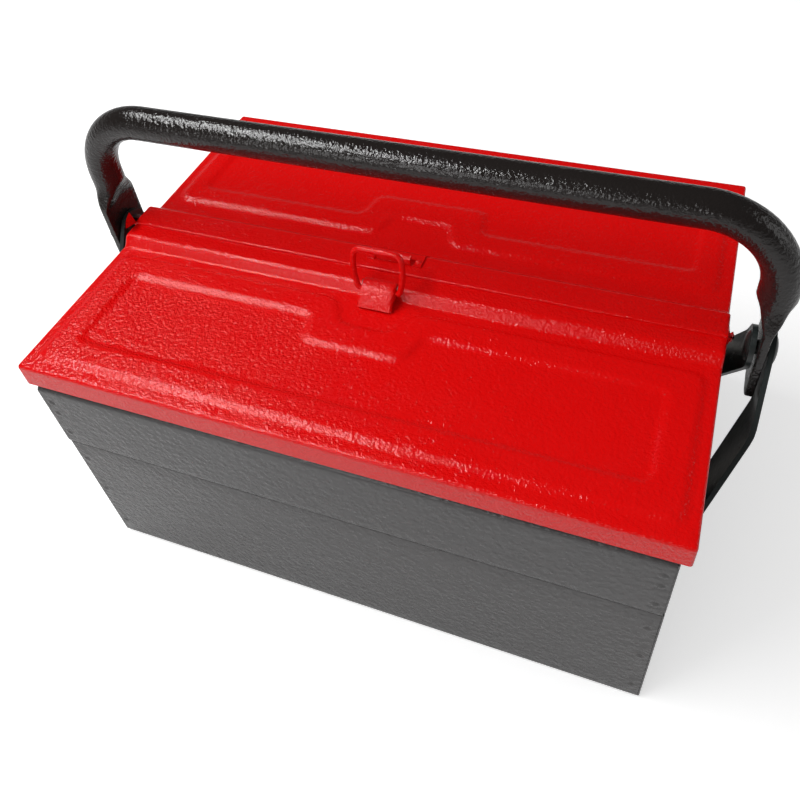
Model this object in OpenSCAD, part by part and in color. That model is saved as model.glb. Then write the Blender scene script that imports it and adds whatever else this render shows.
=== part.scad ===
// Cantilever tool box: a bottom box, two trays on parallel links, a two-piece lid and a swinging handle.
// X runs along the length, -Y is the front, Z is up from the underside of the box.

/* [Bottom box] */
// Length of the box, over its end walls
body_l = 302; // [260:1:360]
// Depth of the closed box, front wall to rear wall
body_d = 222; // [210:1:240]
// Height of the bottom box, up to the joint with the trays
box_h = 91.5; // [88:0.5:93]
// Thickness of the box and tray sheet
sheet = 1; // [0.8:0.1:1]

/* [Trays] */
// Gap between the rim of the box and the floor of a tray
tray_gap = 0.5; // [0.4:0.1:1.5]
// Height of the top edge of the tray's end and inner walls
tray_top = 145; // [141:0.5:146]

/* [Lids] */
// Length of the lids, over their end flanges
lid_l = 310; // [309:0.5:314]
// Height of the lid's flat top
lid_top = 150; // [149:0.5:153]
// Height that the embossed frame stands above the lid
emboss = 1.2; // [0.6:0.1:1.4]
// Height of the front lid's ridge above the lid
front_ridge = 5; // [4:0.1:5.2]
// Height of the rear lid's ridge above the lid
rear_ridge = 6.6; // [6.4:0.1:7.5]
// Radius of the lid hinge rods
hinge_rod_r = 0.7; // [0.5:0.1:0.7]

/* [Links] */
// Width of a tray link
link_w = 12; // [10:0.5:12]
// Thickness of a tray link
link_t = 1.8; // [1.4:0.1:1.8]
// Radius of the rivet shanks
rivet_r = 2.5; // [2:0.1:3]

/* [Handle] */
// Outer radius of the handle tube
tube_r = 8.5; // [7.5:0.5:9]
// Wall thickness of the handle tube
tube_wall = 1.5; // [1:0.1:2]
// Height of the middle of the grip
grip_z = 216; // [214:1:225]
// Radius of the handle's bends, to the middle of the tube
bend_r = 35; // [30:1:36]
// Width of the flattened ends of the handle
paddle_w = 26; // [22:1:28]
// Thickness of the flattened ends of the handle
paddle_t = 4; // [3:0.1:4]
// Width of the side straps
strap_w = 20; // [16:1:22]
// Thickness of the side straps
strap_t = 2.4; // [2:0.1:2.4]

/* [Latch] */
// Sideways place of the latch, as the photo shows it, a little left of the middle
latch_x = -4; // [-10:1:10]
// Width of the latch lever
lever_w = 17.5; // [16:0.5:18]
// Length of the wire bail, pivot to crossbar
bail_l = 22; // [21:0.5:22.5]
// Radius of the bail's wire
wire_r = 1.5; // [1.2:0.1:1.5]
// Angle at which the unhooked bail leans back from upright
bail_lean = 10; // [0:1:12]

/* [Hidden] */
$fn = 48;

// Colours
body_grey = [0.33, 0.33, 0.34];
lid_red = [0.85, 0.02, 0.02];
strap_black = [0.08, 0.09, 0.09];
tube_black = [0.05, 0.05, 0.05];
bare_steel = [0.55, 0.53, 0.5];

// Clearances
fit = 0.05; // shank in its hole
play = 0.4; // between plates that slide past each other
handle_play = 0.8; // between the handle's flattened ends and the straps
eps = 0.01;

// Places along the depth and height
half_l = body_l / 2;
half_d = body_d / 2;
wall_bend = 2;
shoulder_bend = 1.6;
hem_t = 2.2;
hem_h = 7;
weld_flange = 12;
tray_z = box_h + tray_gap;
tray_split = 0.75; // half the gap between the two trays
hinge_y = half_d - 2;
hinge_z = 137.6;
flange_out = 0.6; // how far the lid flange stands out from the tray wall
lid_t = 1;
lid_y = half_d + flange_out;
lid_knuckle_r = lid_y - lid_t - hinge_y + 0.15;
tray_knuckle_r = lid_y - lid_t - hinge_y - 0.25;
flange_z = hinge_z - 0.3;
shoulder_z = hinge_z - norm([lid_y - hinge_y, 0.3]) - 0.28;
web_t = 0.5;
web_y = -hinge_y + tray_knuckle_r - 0.05;
knuckle_l = 20;
knuckle_gap = 0.6;
knuckle_count = 13;
rod_l = knuckle_l * knuckle_count;

// Link pivots, as [depth, height] of the front tray, and the rear tray mirrors them
outer_foot = [-76, 61];
inner_foot = [-58, 61];
link_reach = [51, 51]; // from a link's foot to its head with the trays closed
outer_head = outer_foot + link_reach;
inner_head = inner_foot + link_reach;
head_r = 4;
head_t = 1.4;
open_pivot_play = 0.25; // the inner link's head is where the closed linkage is opened

// Layers outside the end walls
link_x = half_l + play;
strap_low_x = link_x + link_t + play;
rivet_head_x = link_x + link_t + 0.2;

// Handle pivots
pivot_z = 144;
leg_x = 170;
strap_in_x = leg_x - paddle_t / 2 - handle_play - strap_t;
strap_out_x = leg_x + paddle_t / 2 + handle_play;
strap_fold_z = 72;
inner_fold_z = 136;
outer_fold_z = 118;
handle_pin_r = 3.5;
handle_head_r = 7;
paddle_low = 23; // below the pivot
paddle_high = 17; // above the pivot
tube_low = 32; // above the pivot, where the tube is round again

// Ridge along the middle of the lids
front_base_y = -22.3;
front_top_y = -18.7;
front_end_y = -6;
rear_base_y = 12.2;
rear_top_y = 5;
rear_lip_y = -9.4;
lip_drop = 1.2;

// Latch, as [depth, height]
lever_pin = [-20.3, 156.9];
bail_pin = [-23.4, 156.2];
pin_r = 1;
bail_end_r = 1.1;
bail_end_in = 1.2; // how far the bail's ends reach into the lever
lever_t = 0.8;
ear_t = 1;
ear_x = 6.4;
base_t = 1;
keeper_w = 29;
hook_w = 18;
hook_y = -3.5;
hook_top = 160.8;
hook_curl = 0.9; // how far the hook's edge leans back
keeper_tail = 5.8; // length of the keeper's foot on the slope of the ridge
keeper_rivet_x = keeper_w / 2 - 2.2;
keeper_rivet_y = -0.8;
base_rivet_x = 3;
base_rivet_y = -26.5;
small_rivet_r = 1.15;
rivet_hole_r = 1.2;

// Geometry helpers
function unit(v) = v / norm(v);
function left_of(v) = [-v[1], v[0]];
function heading(path, i) = unit(path[min(i + 1, len(path) - 1)] - path[min(i, len(path) - 2)]);
function mitre(path, i, t) =
    let (before = left_of(heading(path, max(i - 1, 0))), after = left_of(heading(path, i)))
    path[i] + t * (before + after) / (1 + before * after);
// A strip of thickness t along a path, on its left side
function ribbon(path, t) = concat(path, [for (i = [len(path) - 1:-1:0]) mitre(path, i, t)]);
function arc(centre, r, from, to, steps = 6) =
    [for (i = [0:steps]) let (a = from + (to - from) * i / steps) centre + r * [cos(a), sin(a)]];
// A closed outline with each corner rounded by a quadratic curve
function rounded(outline, r, steps = 4) = [
    for (i = [0:len(outline) - 1])
        let (
            p = outline[i],
            a = p + r * unit(outline[(i + len(outline) - 1) % len(outline)] - p),
            b = p + r * unit(outline[(i + 1) % len(outline)] - p)
        )
        for (k = [0:steps]) let (s = k / steps) (1 - s) * (1 - s) * a + 2 * s * (1 - s) * p + s * s * b
];

// Stands a [depth, height] outline up and runs it from x0 to x1
module along_x(x0, x1) {
    translate([x0, 0, 0]) rotate([90, 0, 90]) linear_extrude(x1 - x0) children();
}
// Stands an [x, height] outline up and runs it from y0 to y1
module along_y(y0, y1) {
    translate([0, y1, 0]) rotate([90, 0, 0]) linear_extrude(y1 - y0) children();
}
module rod_x(at, r, x0, x1) {
    translate([x0, at[0], at[1]]) rotate([0, 90, 0]) cylinder(r = r, h = x1 - x0);
}
module to_side(side) {
    if (side < 0) mirror([1, 0, 0]) children();
    else children();
}
module to_row(row) {
    if (row > 0) mirror([0, 1, 0]) children();
    else children();
}
// A bar with round ends between two [depth, height] points
module bar_outline(a, b, w) {
    way = unit(b - a);
    across = left_of(way) * w / 2;
    polygon([a + across, a - across, b - across, b + across]);
    for (p = [a, b]) translate(p) circle(d = w);
}

// Bottom box
module hem() {
    translate([-half_d, box_h - hem_h]) square([hem_t, hem_h - hem_t / 2]);
    translate([-half_d + hem_t / 2, box_h - hem_t / 2]) circle(d = hem_t);
}
module bottom_box() {
    fold = half_d - wall_bend;
    path = concat(
        [[-half_d, box_h - hem_t]],
        arc([-fold, wall_bend], wall_bend, 180, 270),
        arc([fold, wall_bend], wall_bend, 270, 360),
        [[half_d, box_h - hem_t]]
    );
    color(body_grey) along_x(-half_l + sheet, half_l - sheet) {
        polygon(ribbon(path, sheet));
        hem();
        mirror([1, 0]) hem();
    }
}
module link_holes(points) {
    for (p = points, row = [-1, 1])
        to_row(row) rod_x(p, rivet_r + fit, half_l - sheet - eps, half_l + eps);
}
module bottom_end(side) {
    outline = concat(
        arc([-half_d + wall_bend, wall_bend], wall_bend, 180, 270),
        arc([half_d - wall_bend, wall_bend], wall_bend, 270, 360),
        [[half_d, box_h], [-half_d, box_h]]
    );
    hem_y = half_d - hem_t - 0.3;
    flange_x = half_l - sheet - weld_flange;
    color(body_grey) to_side(side) difference() {
        union() {
            along_x(half_l - sheet, half_l) polygon(outline);
            for (row = [-1, 1])
                to_row(row) translate([flange_x, -half_d + sheet, wall_bend + sheet])
                    cube([weld_flange + eps, sheet, box_h - hem_h - wall_bend - 2 * sheet]);
            translate([half_l - hem_t, -hem_y, box_h - hem_h]) cube([hem_t, 2 * hem_y, hem_h]);
        }
        link_holes([outer_foot, inner_foot]);
    }
}

// Trays
module knuckles(first, r) {
    bore = hinge_rod_r + fit;
    for (i = [first:2:knuckle_count - 1]) {
        x0 = -rod_l / 2 + i * knuckle_l + knuckle_gap / 2;
        difference() {
            rod_x([-hinge_y, hinge_z], r, x0, x0 + knuckle_l - knuckle_gap);
            rod_x([-hinge_y, hinge_z], bore, x0 - eps, x0 + knuckle_l);
        }
    }
}
module tray(row) {
    path = concat(
        [[web_y, shoulder_z]],
        arc([-half_d + shoulder_bend, shoulder_z - shoulder_bend], shoulder_bend, 90, 180),
        arc([-half_d + wall_bend, tray_z + wall_bend], wall_bend, 180, 270),
        arc([-tray_split - wall_bend, tray_z + wall_bend], wall_bend, 270, 360),
        [[-tray_split, tray_top]]
    );
    color(body_grey) to_row(row) {
        along_x(-half_l + sheet, half_l - sheet) polygon(ribbon(path, sheet));
        for (i = [1:2:knuckle_count - 1])
            translate([-rod_l / 2 + i * knuckle_l + knuckle_gap / 2, web_y - web_t, shoulder_z - sheet / 2])
                cube([knuckle_l - knuckle_gap, web_t, hinge_z - shoulder_z + sheet / 2]);
        knuckles(1, tray_knuckle_r);
    }
}
module tray_end(row, side) {
    outline = [
        [-half_d, tray_z + wall_bend], [-half_d + wall_bend, tray_z], [-tray_split - wall_bend, tray_z],
        [-tray_split, tray_z + wall_bend], [-tray_split, tray_top], [-hinge_y + 9, tray_top],
        [-hinge_y + 4, shoulder_z], [-half_d, shoulder_z]
    ];
    flange_h = shoulder_z - tray_z - wall_bend - 3 * sheet;
    color(body_grey) to_row(row) to_side(side) difference() {
        union() {
            along_x(half_l - sheet, half_l) polygon(outline);
            translate([half_l - sheet - weld_flange, -half_d + sheet, tray_z + wall_bend + sheet])
                cube([weld_flange + eps, sheet, flange_h]);
        }
        for (p = [outer_head, inner_head]) rod_x(p, rivet_r + fit, half_l - sheet - eps, half_l + eps);
    }
}

// Links and their rivets
module link(row, side, foot, head_play) {
    color(bare_steel) to_row(row) to_side(side) difference() {
        along_x(link_x, link_x + link_t) bar_outline(foot, foot + link_reach, link_w);
        rod_x(foot, rivet_r + fit, link_x - eps, link_x + link_t + eps);
        rod_x(foot + link_reach, rivet_r + head_play, link_x - eps, link_x + link_t + eps);
    }
}
module rivet_x(at, shank, x0, x1, r, t) {
    rod_x(at, shank, x0 - eps, x1 + eps);
    rod_x(at, r, x0 - t, x0);
    rod_x(at, r, x1, x1 + t);
}
module box_link_rivets() {
    color(bare_steel) for (row = [-1, 1], side = [-1, 1]) to_row(row) to_side(side) {
        rivet_x(outer_foot, rivet_r, half_l - sheet, rivet_head_x, head_r, head_t);
        rivet_x(inner_foot, rivet_r, half_l - sheet, strap_low_x + strap_t, head_r, head_t);
    }
}
module tray_rivets(row) {
    color(bare_steel) for (side = [-1, 1], p = [outer_head, inner_head])
        to_row(row) to_side(side) rivet_x(p, rivet_r, half_l - sheet, rivet_head_x, head_r, head_t);
}

// Side straps of the handle, from a box rivet up to the handle rivet
module side_strap(row, side, outside) {
    top_x = outside ? strap_out_x : strap_in_x;
    fold_z = outside ? outer_fold_z : inner_fold_z;
    bends = [
        [strap_low_x, inner_foot[1] - strap_w], [strap_low_x, strap_fold_z],
        [top_x, fold_z], [top_x, pivot_z + strap_w]
    ];
    color(strap_black) to_row(row) to_side(side) difference() {
        intersection() {
            along_x(strap_low_x - 1, strap_out_x + strap_t + 1)
                bar_outline(inner_foot, [0, pivot_z], strap_w);
            along_y(-half_d - strap_w, strap_w) polygon(ribbon(bends, -strap_t));
        }
        rod_x(inner_foot, rivet_r + fit, strap_low_x - 1, strap_low_x + strap_t + 1);
        rod_x([0, pivot_z], handle_pin_r + fit, top_x - 1, top_x + strap_t + 1);
    }
}

// Handle
module handle_rivets() {
    color(bare_steel) for (side = [-1, 1])
        to_side(side)
            rivet_x([0, pivot_z], handle_pin_r, strap_in_x, strap_out_x + strap_t, handle_head_r, 2);
}
module paddle() {
    flat = [paddle_w, paddle_low + paddle_high];
    corner = 6;
    along_x(leg_x - paddle_t / 2, leg_x + paddle_t / 2) polygon(rounded([
        [-flat[0] / 2, pivot_z - paddle_low], [flat[0] / 2, pivot_z - paddle_low],
        [flat[0] / 2, pivot_z + paddle_high + 1], [-flat[0] / 2, pivot_z + paddle_high + 1]
    ], corner));
}
// The round part of the tube, which is also its bore with a smaller radius
module bent_bar(r, low_z) {
    leg_top = grip_z - bend_r;
    half_grip = leg_x - bend_r;
    translate([-half_grip, 0, grip_z]) rotate([0, 90, 0]) cylinder(r = r, h = 2 * half_grip);
    for (side = [-1, 1]) to_side(side) {
        translate([half_grip, 0, leg_top]) rotate([90, 0, 0])
            rotate_extrude(angle = 90) translate([bend_r, 0]) circle(r = r);
        translate([leg_x, 0, low_z]) cylinder(r = r, h = leg_top - low_z);
    }
}
module handle_tube() {
    round_z = pivot_z + tube_low;
    color(tube_black) difference() {
        union() {
            bent_bar(tube_r, round_z - 1);
            for (side = [-1, 1]) to_side(side) {
                hull() {
                    translate([leg_x, 0, round_z - 1]) cylinder(r = tube_r, h = 1, $fn = 32);
                    translate([leg_x - paddle_t / 2, -paddle_w / 2, pivot_z + paddle_high])
                        cube([paddle_t, paddle_w, 1]);
                }
                paddle();
            }
        }
        bent_bar(tube_r - tube_wall, round_z);
        for (side = [-1, 1])
            to_side(side) rod_x([0, pivot_z], handle_pin_r + fit, leg_x - paddle_t, leg_x + paddle_t);
    }
}

// Lids
// Outline of an embossed line, a rectangle with a step round the latch, as [x, depth]
function panel(half_x, far_y, near_y, step_wide, step_tight, step_y) = [
    [-half_x, far_y], [half_x, far_y], [half_x, near_y], [latch_x + step_wide, near_y],
    [latch_x + step_tight, step_y], [latch_x - step_tight, step_y],
    [latch_x - step_wide, near_y], [-half_x, near_y]
];
module embossed_frame(outer, inner) {
    translate([0, 0, lid_top - eps]) linear_extrude(emboss + eps) difference() {
        polygon(rounded(outer, 4));
        polygon(rounded(inner, 4));
    }
}
module lid_ends(outline) {
    for (side = [-1, 1]) to_side(side) along_x(lid_l / 2 - lid_t, lid_l / 2) polygon(outline);
}
module lid_knuckles(row) {
    to_row(row) knuckles(0, lid_knuckle_r);
}
module front_lid() {
    edge = 1.5;
    path = concat(
        [[-lid_y, flange_z]],
        arc([-lid_y + edge, lid_top - edge], edge, 180, 90),
        [[front_base_y, lid_top], [front_top_y, lid_top + front_ridge], [front_end_y, lid_top + front_ridge]]
    );
    skin = concat(path, [[front_end_y, flange_z]]);
    color(lid_red) difference() {
        union() {
            along_x(-lid_l / 2, lid_l / 2) polygon(ribbon(path, -lid_t));
            lid_ends(skin);
            lid_knuckles(-1);
            embossed_frame(
                panel(half_x = 148.5, far_y = -103, near_y = -28.8, step_wide = 20.5,
                    step_tight = 12.6, step_y = -44),
                panel(half_x = 134.6, far_y = -89.3, near_y = -41.8, step_wide = 28.8,
                    step_tight = 25, step_y = -58.3)
            );
        }
        for (x = [-base_rivet_x, base_rivet_x])
            translate([latch_x + x, base_rivet_y, lid_top - 3]) cylinder(r = rivet_hole_r, h = 4);
    }
}
module rear_lid() {
    edge = 1.5;
    top = lid_top + rear_ridge;
    path = concat(
        [[lid_y, flange_z]],
        arc([lid_y - edge, lid_top - edge], edge, 0, 90),
        [[rear_base_y, lid_top], [rear_top_y, top], [rear_lip_y, top], [rear_lip_y, top - lip_drop]]
    );
    skin = concat(path, [[front_end_y + 1, lid_top + front_ridge + 0.3], [front_end_y + 1, flange_z]]);
    color(lid_red) difference() {
        union() {
            along_x(-lid_l / 2, lid_l / 2) polygon(ribbon(path, lid_t));
            lid_ends(skin);
            lid_knuckles(1);
            embossed_frame(
                panel(half_x = 148, far_y = 103, near_y = 23, step_wide = 20.5,
                    step_tight = 16.2, step_y = 38),
                panel(half_x = 136.8, far_y = 89.3, near_y = 35.3, step_wide = 34,
                    step_tight = 30.6, step_y = 53.3)
            );
        }
        for (x = [-1, 1])
            translate([latch_x + x * keeper_rivet_x, keeper_rivet_y, top - 3])
                cylinder(r = rivet_hole_r, h = 4);
    }
}
module hinge_rod(row) {
    color(bare_steel) to_row(row) rod_x([-hinge_y, hinge_z], hinge_rod_r, -rod_l / 2 - 2, rod_l / 2 + 2);
}

// Latch
module rivet_z(at, r, z0, z1, head) {
    translate([at[0], at[1], z0 - eps]) cylinder(r = r, h = z1 - z0 + 2 * eps);
    translate([at[0], at[1], z0 - 0.7]) cylinder(r = head, h = 0.7);
    translate([at[0], at[1], z1]) cylinder(r = head, h = 0.9);
}
module latch_base() {
    ear = [
        [-29, lid_top + base_t / 2], [-23.4, lid_top + base_t / 2], [-21.6, 155.6],
        [-20.6, 158.2], [-24.5, 156.6], [-29, 152.6]
    ];
    color(lid_red) translate([latch_x, 0, 0]) difference() {
        union() {
            translate([-ear_x - ear_t, -29.5, lid_top]) cube([2 * (ear_x + ear_t), 6, base_t]);
            for (side = [-1, 1]) to_side(side) {
                along_x(ear_x, ear_x + ear_t) polygon(ear);
                rod_x(lever_pin, 1.7, ear_x, ear_x + ear_t);
            }
        }
        rod_x(lever_pin, pin_r + fit, -lever_w, lever_w);
        for (x = [-base_rivet_x, base_rivet_x])
            translate([x, base_rivet_y, lid_top - 1]) cylinder(r = rivet_hole_r, h = 4);
    }
}
module latch_base_rivets() {
    color(lid_red) for (x = [-base_rivet_x, base_rivet_x])
        rivet_z([latch_x + x, base_rivet_y], small_rivet_r, lid_top - lid_t, lid_top + base_t, 1.9);
}
module latch_pin() {
    half = lever_w / 2 + 0.2;
    color(bare_steel) translate([latch_x, 0, 0]) {
        rod_x(lever_pin, pin_r, -half - eps, half + eps);
        for (side = [-1, 1]) to_side(side) rod_x(lever_pin, 1.5, half, half + 0.4);
    }
}
module latch_lever() {
    path = [
        [-18.9, 159.3], [-20.2, 159.8], [-21.8, 159.9], [-23.6, 159.5], [-25.5, 158.6],
        [-27.6, 157.1], [-29.4, 155.2], [-30.9, 153.1], [-31.9, 151.5]
    ];
    cheek = concat(path, [[-29.6, 152.6], [-26.5, 154.6], [-21.6, 154.5]]);
    color(lid_red) translate([latch_x, 0, 0]) difference() {
        union() {
            along_x(-lever_w / 2, lever_w / 2) polygon(ribbon(path, lever_t));
            for (side = [-1, 1]) to_side(side) along_x(lever_w / 2 - lever_t, lever_w / 2) {
                polygon(cheek);
                translate(lever_pin) circle(r = 1.8);
            }
        }
        rod_x(lever_pin, pin_r + fit, -lever_w, lever_w);
        rod_x(bail_pin, bail_end_r + fit, -lever_w, lever_w);
    }
}
module latch_bail() {
    low_x = lever_w / 2 + 0.5 + wire_r;
    high_x = low_x + 1.2;
    corner = 4;
    top_z = bail_l;
    bow = atan((high_x - low_x) / (top_z - corner));
    side_l = norm([high_x - low_x, top_z - corner]);
    color(lid_red) translate([latch_x, bail_pin[0], bail_pin[1]]) rotate([-bail_lean, 0, 0]) {
        translate([-high_x + corner, 0, top_z]) rotate([0, 90, 0])
            cylinder(r = wire_r, h = 2 * (high_x - corner));
        for (side = [-1, 1]) to_side(side) {
            translate([high_x - corner, 0, top_z - corner]) rotate([90, 0, 0])
                rotate_extrude(angle = 90) translate([corner, 0]) circle(r = wire_r);
            translate([low_x, 0, 0]) rotate([0, bow, 0]) cylinder(r = wire_r, h = side_l);
            translate([low_x, 0, 0]) sphere(r = wire_r, $fn = 32);
            rod_x([0, 0], bail_end_r, lever_w / 2 - bail_end_in, low_x);
        }
    }
}
module keeper_plate() {
    foot_z = lid_top + rear_ridge + base_t;
    ridge_end = [rear_top_y, lid_top + rear_ridge];
    slope = unit([rear_base_y, lid_top] - ridge_end);
    lift = left_of(slope) * (base_t + 0.03);
    corner = ridge_end + lift + slope * (foot_z - ridge_end[1] - lift[1]) / slope[1];
    path = [
        [hook_y + hook_curl, hook_top], [hook_y, hook_top - 1.2], [hook_y, foot_z],
        corner, corner + slope * keeper_tail
    ];
    window_w = hook_w + 2.8;
    color(lid_red) translate([latch_x, 0, 0]) difference() {
        along_x(-keeper_w / 2, keeper_w / 2) polygon(ribbon(path, -base_t));
        for (side = [-1, 1]) to_side(side)
            translate([hook_w / 2, hook_y - 3, foot_z]) cube([keeper_w, 6, 9]);
        translate([-window_w / 2, hook_y + 0.6, foot_z - 2]) cube([window_w, 3.4, 2.2]);
        for (x = [-1, 1])
            translate([x * keeper_rivet_x, keeper_rivet_y, foot_z - 2]) cylinder(r = rivet_hole_r, h = 4);
    }
}
module keeper_rivets() {
    ridge_top = lid_top + rear_ridge;
    color(lid_red) for (x = [-1, 1]) {
        at = [latch_x + x * keeper_rivet_x, keeper_rivet_y];
        rivet_z(at, small_rivet_r, ridge_top - lid_t, ridge_top + base_t, 1.6);
    }
}

bottom_box();
bottom_end(-1);  // bottom_end_left
bottom_end(1);  // bottom_end_right
tray(-1);  // front_tray
tray_end(-1, -1);  // front_tray_end_left
tray_end(-1, 1);  // front_tray_end_right
tray(1);  // rear_tray
tray_end(1, -1);  // rear_tray_end_left
tray_end(1, 1);  // rear_tray_end_right
link(-1, -1, outer_foot, fit);  // front_outer_link_left
link(-1, 1, outer_foot, fit);  // front_outer_link_right
link(-1, -1, inner_foot, open_pivot_play);  // front_inner_link_left
link(-1, 1, inner_foot, open_pivot_play);  // front_inner_link_right
link(1, -1, outer_foot, fit);  // rear_outer_link_left
link(1, 1, outer_foot, fit);  // rear_outer_link_right
link(1, -1, inner_foot, open_pivot_play);  // rear_inner_link_left
link(1, 1, inner_foot, open_pivot_play);  // rear_inner_link_right
box_link_rivets();
tray_rivets(-1);  // front_tray_rivets
tray_rivets(1);  // rear_tray_rivets
side_strap(-1, -1, false);  // front_left_strap
side_strap(-1, 1, true);  // front_right_strap
side_strap(1, -1, true);  // rear_left_strap
side_strap(1, 1, false);  // rear_right_strap
handle_rivets();
handle_tube();
front_lid();
rear_lid();
hinge_rod(-1);  // front_hinge_rod
hinge_rod(1);  // rear_hinge_rod
latch_base();
latch_base_rivets();
latch_pin();
latch_lever();
latch_bail();
keeper_plate();
keeper_rivets();
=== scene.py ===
"""Detailed pieces, finishes and studio of a cantilever tool box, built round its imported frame."""
import math

import bmesh
import bpy
import numpy as np
from bpy.props import FloatProperty, FloatVectorProperty, PointerProperty
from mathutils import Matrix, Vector


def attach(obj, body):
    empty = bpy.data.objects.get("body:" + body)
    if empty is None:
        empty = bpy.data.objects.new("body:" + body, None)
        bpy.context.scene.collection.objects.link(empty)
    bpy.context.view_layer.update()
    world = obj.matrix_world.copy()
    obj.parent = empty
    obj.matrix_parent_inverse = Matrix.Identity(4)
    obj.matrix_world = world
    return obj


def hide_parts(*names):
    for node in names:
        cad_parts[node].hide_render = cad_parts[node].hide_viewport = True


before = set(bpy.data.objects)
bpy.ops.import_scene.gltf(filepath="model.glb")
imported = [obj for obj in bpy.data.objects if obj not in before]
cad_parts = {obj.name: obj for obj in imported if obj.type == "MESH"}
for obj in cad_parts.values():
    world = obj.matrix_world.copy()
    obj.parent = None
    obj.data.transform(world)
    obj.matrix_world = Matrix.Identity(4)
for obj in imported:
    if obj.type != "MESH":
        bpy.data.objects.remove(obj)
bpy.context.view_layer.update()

bl_info = {
    "name": "Cantilever tool box",
    "version": (1, 0, 0),
    "blender": (4, 5, 0),
    "location": "3D view > Sidebar > Tool box",
    "description": "Builds the sheet-metal tool box, its finishes and its studio",
    "category": "Object",
}

MM = 0.001

# Places shared with the part's source, in millimetres
HALF_L = 151.0
HALF_D = 111.0
BOX_H = 91.5
SHEET = 1.0
TRAY_Z = 92.0
TRAY_TOP = 145.0
TRAY_SPLIT = 0.75
SHOULDER_Z = 134.7
SHOULDER_Y = -107.8
LID_HALF_L = 155.0
LID_Y = 111.6
LID_TOP = 150.0
FLANGE_Z = 137.3
FRONT_RIDGE = 155.0
FRONT_RIDGE_FOOT, FRONT_RIDGE_TOP, FRONT_RIDGE_END = -22.3, -18.7, -6.0
REAR_RIDGE = 156.6
REAR_RIDGE_LIP, REAR_RIDGE_TOP, REAR_RIDGE_FOOT = -9.4, 5.0, 12.2
REAR_LIP_DROP = 1.7
LID_LIP_R = 0.9
LID_END_R = 1.4
LID_STEP = 1.3
LID_RING_STEP = 1.6
HINGE = (-109.0, 137.6)
LID_KNUCKLE_R = 1.75
TRAY_KNUCKLE_R = 1.35
KNUCKLE_BORE = 0.75
KNUCKLE_L = 20.0
KNUCKLE_GAP = 0.6
KNUCKLES = 13
ROW_START = -KNUCKLE_L * KNUCKLES / 2
PIVOT_Z = 144.0
OUTER_FOOT = (-76.0, 61.0)
INNER_FOOT = (-58.0, 61.0)
OUTER_HEAD = (-25.0, 112.0)
INNER_HEAD = (-7.0, 112.0)
LINK_X = 151.4
LINK_T = 1.8
LINK_W = 12.0
LINK_RIVET = (2.5, 4.0, 1.4)
HANDLE_RIVET = (3.5, 7.0, 2.0)
STRAP_W = 20.0
STRAP_T = 2.4
STRAP_LOW_X = 153.6
STRAP_IN_X = 164.8
STRAP_OUT_X = 172.8
STRAP_FOLD_Z = 72.0
INNER_FOLD_Z = 136.0
OUTER_FOLD_Z = 118.0
LEG_X = 170.0
GRIP_Z = 216.0
BEND_R = 35.0
TUBE_R = 8.5
PADDLE_HALF_W = 13.0
PADDLE_HALF_T = 2.0
PADDLE_LOW = 121.0
PADDLE_HIGH = 161.0
TUBE_ROUND_Z = 177.0
LATCH_X = -4.0
LEVER_W = 17.5
LEVER_T = 0.8
BAIL_PIN = (-23.4, 156.2)
BAIL_L = 22.0
WIRE_R = 1.5
BAIL_LEAN = 10.0
EAR_X = 6.4
KEEPER_W = 29.0
KEEPER_WINDOW = 10.4
KEEPER_RIVET_IN = 2.2
HOOK_W = 18.0
PLATE_T = 1.0

# Each finish has the name of a material slot of the record and this ending
MADE = "_finish"
LID_PAINT = "lid_paint"
BODY_PAINT = "body_paint"
HANDLE_PAINT = "handle_paint"
STRAP_PAINT = "strap_paint"
STEEL = "plated_steel"


class ToolboxSizes(bpy.types.PropertyGroup):
    """Sizes of the visible detail that the plain solids don't carry."""

    emboss: FloatProperty(
        name="Emboss height", description="Height of the stamped frame on each lid",
        default=0.0013, min=0.0004, max=0.002, precision=4, unit="LENGTH",
    )
    emboss_slope: FloatProperty(
        name="Emboss slope", description="Width of the slope beside the stamped frame",
        default=0.0034, min=0.001, max=0.008, precision=4, unit="LENGTH",
    )
    lid_edge: FloatProperty(
        name="Lid edge radius", description="Radius of the bend between a lid's top and its flange",
        default=0.0018, min=0.001, max=0.003, precision=4, unit="LENGTH",
    )
    ridge_bend: FloatProperty(
        name="Ridge bend radius", description="Radius of the bends at the foot and top of a lid's ridge",
        default=0.0022, min=0.0005, max=0.003, precision=4, unit="LENGTH",
    )
    weld_depth: FloatProperty(
        name="Weld dimple depth", description="Depth of the spot-weld marks in the walls",
        default=0.0005, min=0.0, max=0.001, precision=4, unit="LENGTH",
    )
    plate_edge: FloatProperty(
        name="Plate edge rounding", description="Rounding of the edges of straps, links and latch plates",
        default=0.0004, min=0.0001, max=0.0008, precision=4, unit="LENGTH",
    )


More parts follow.
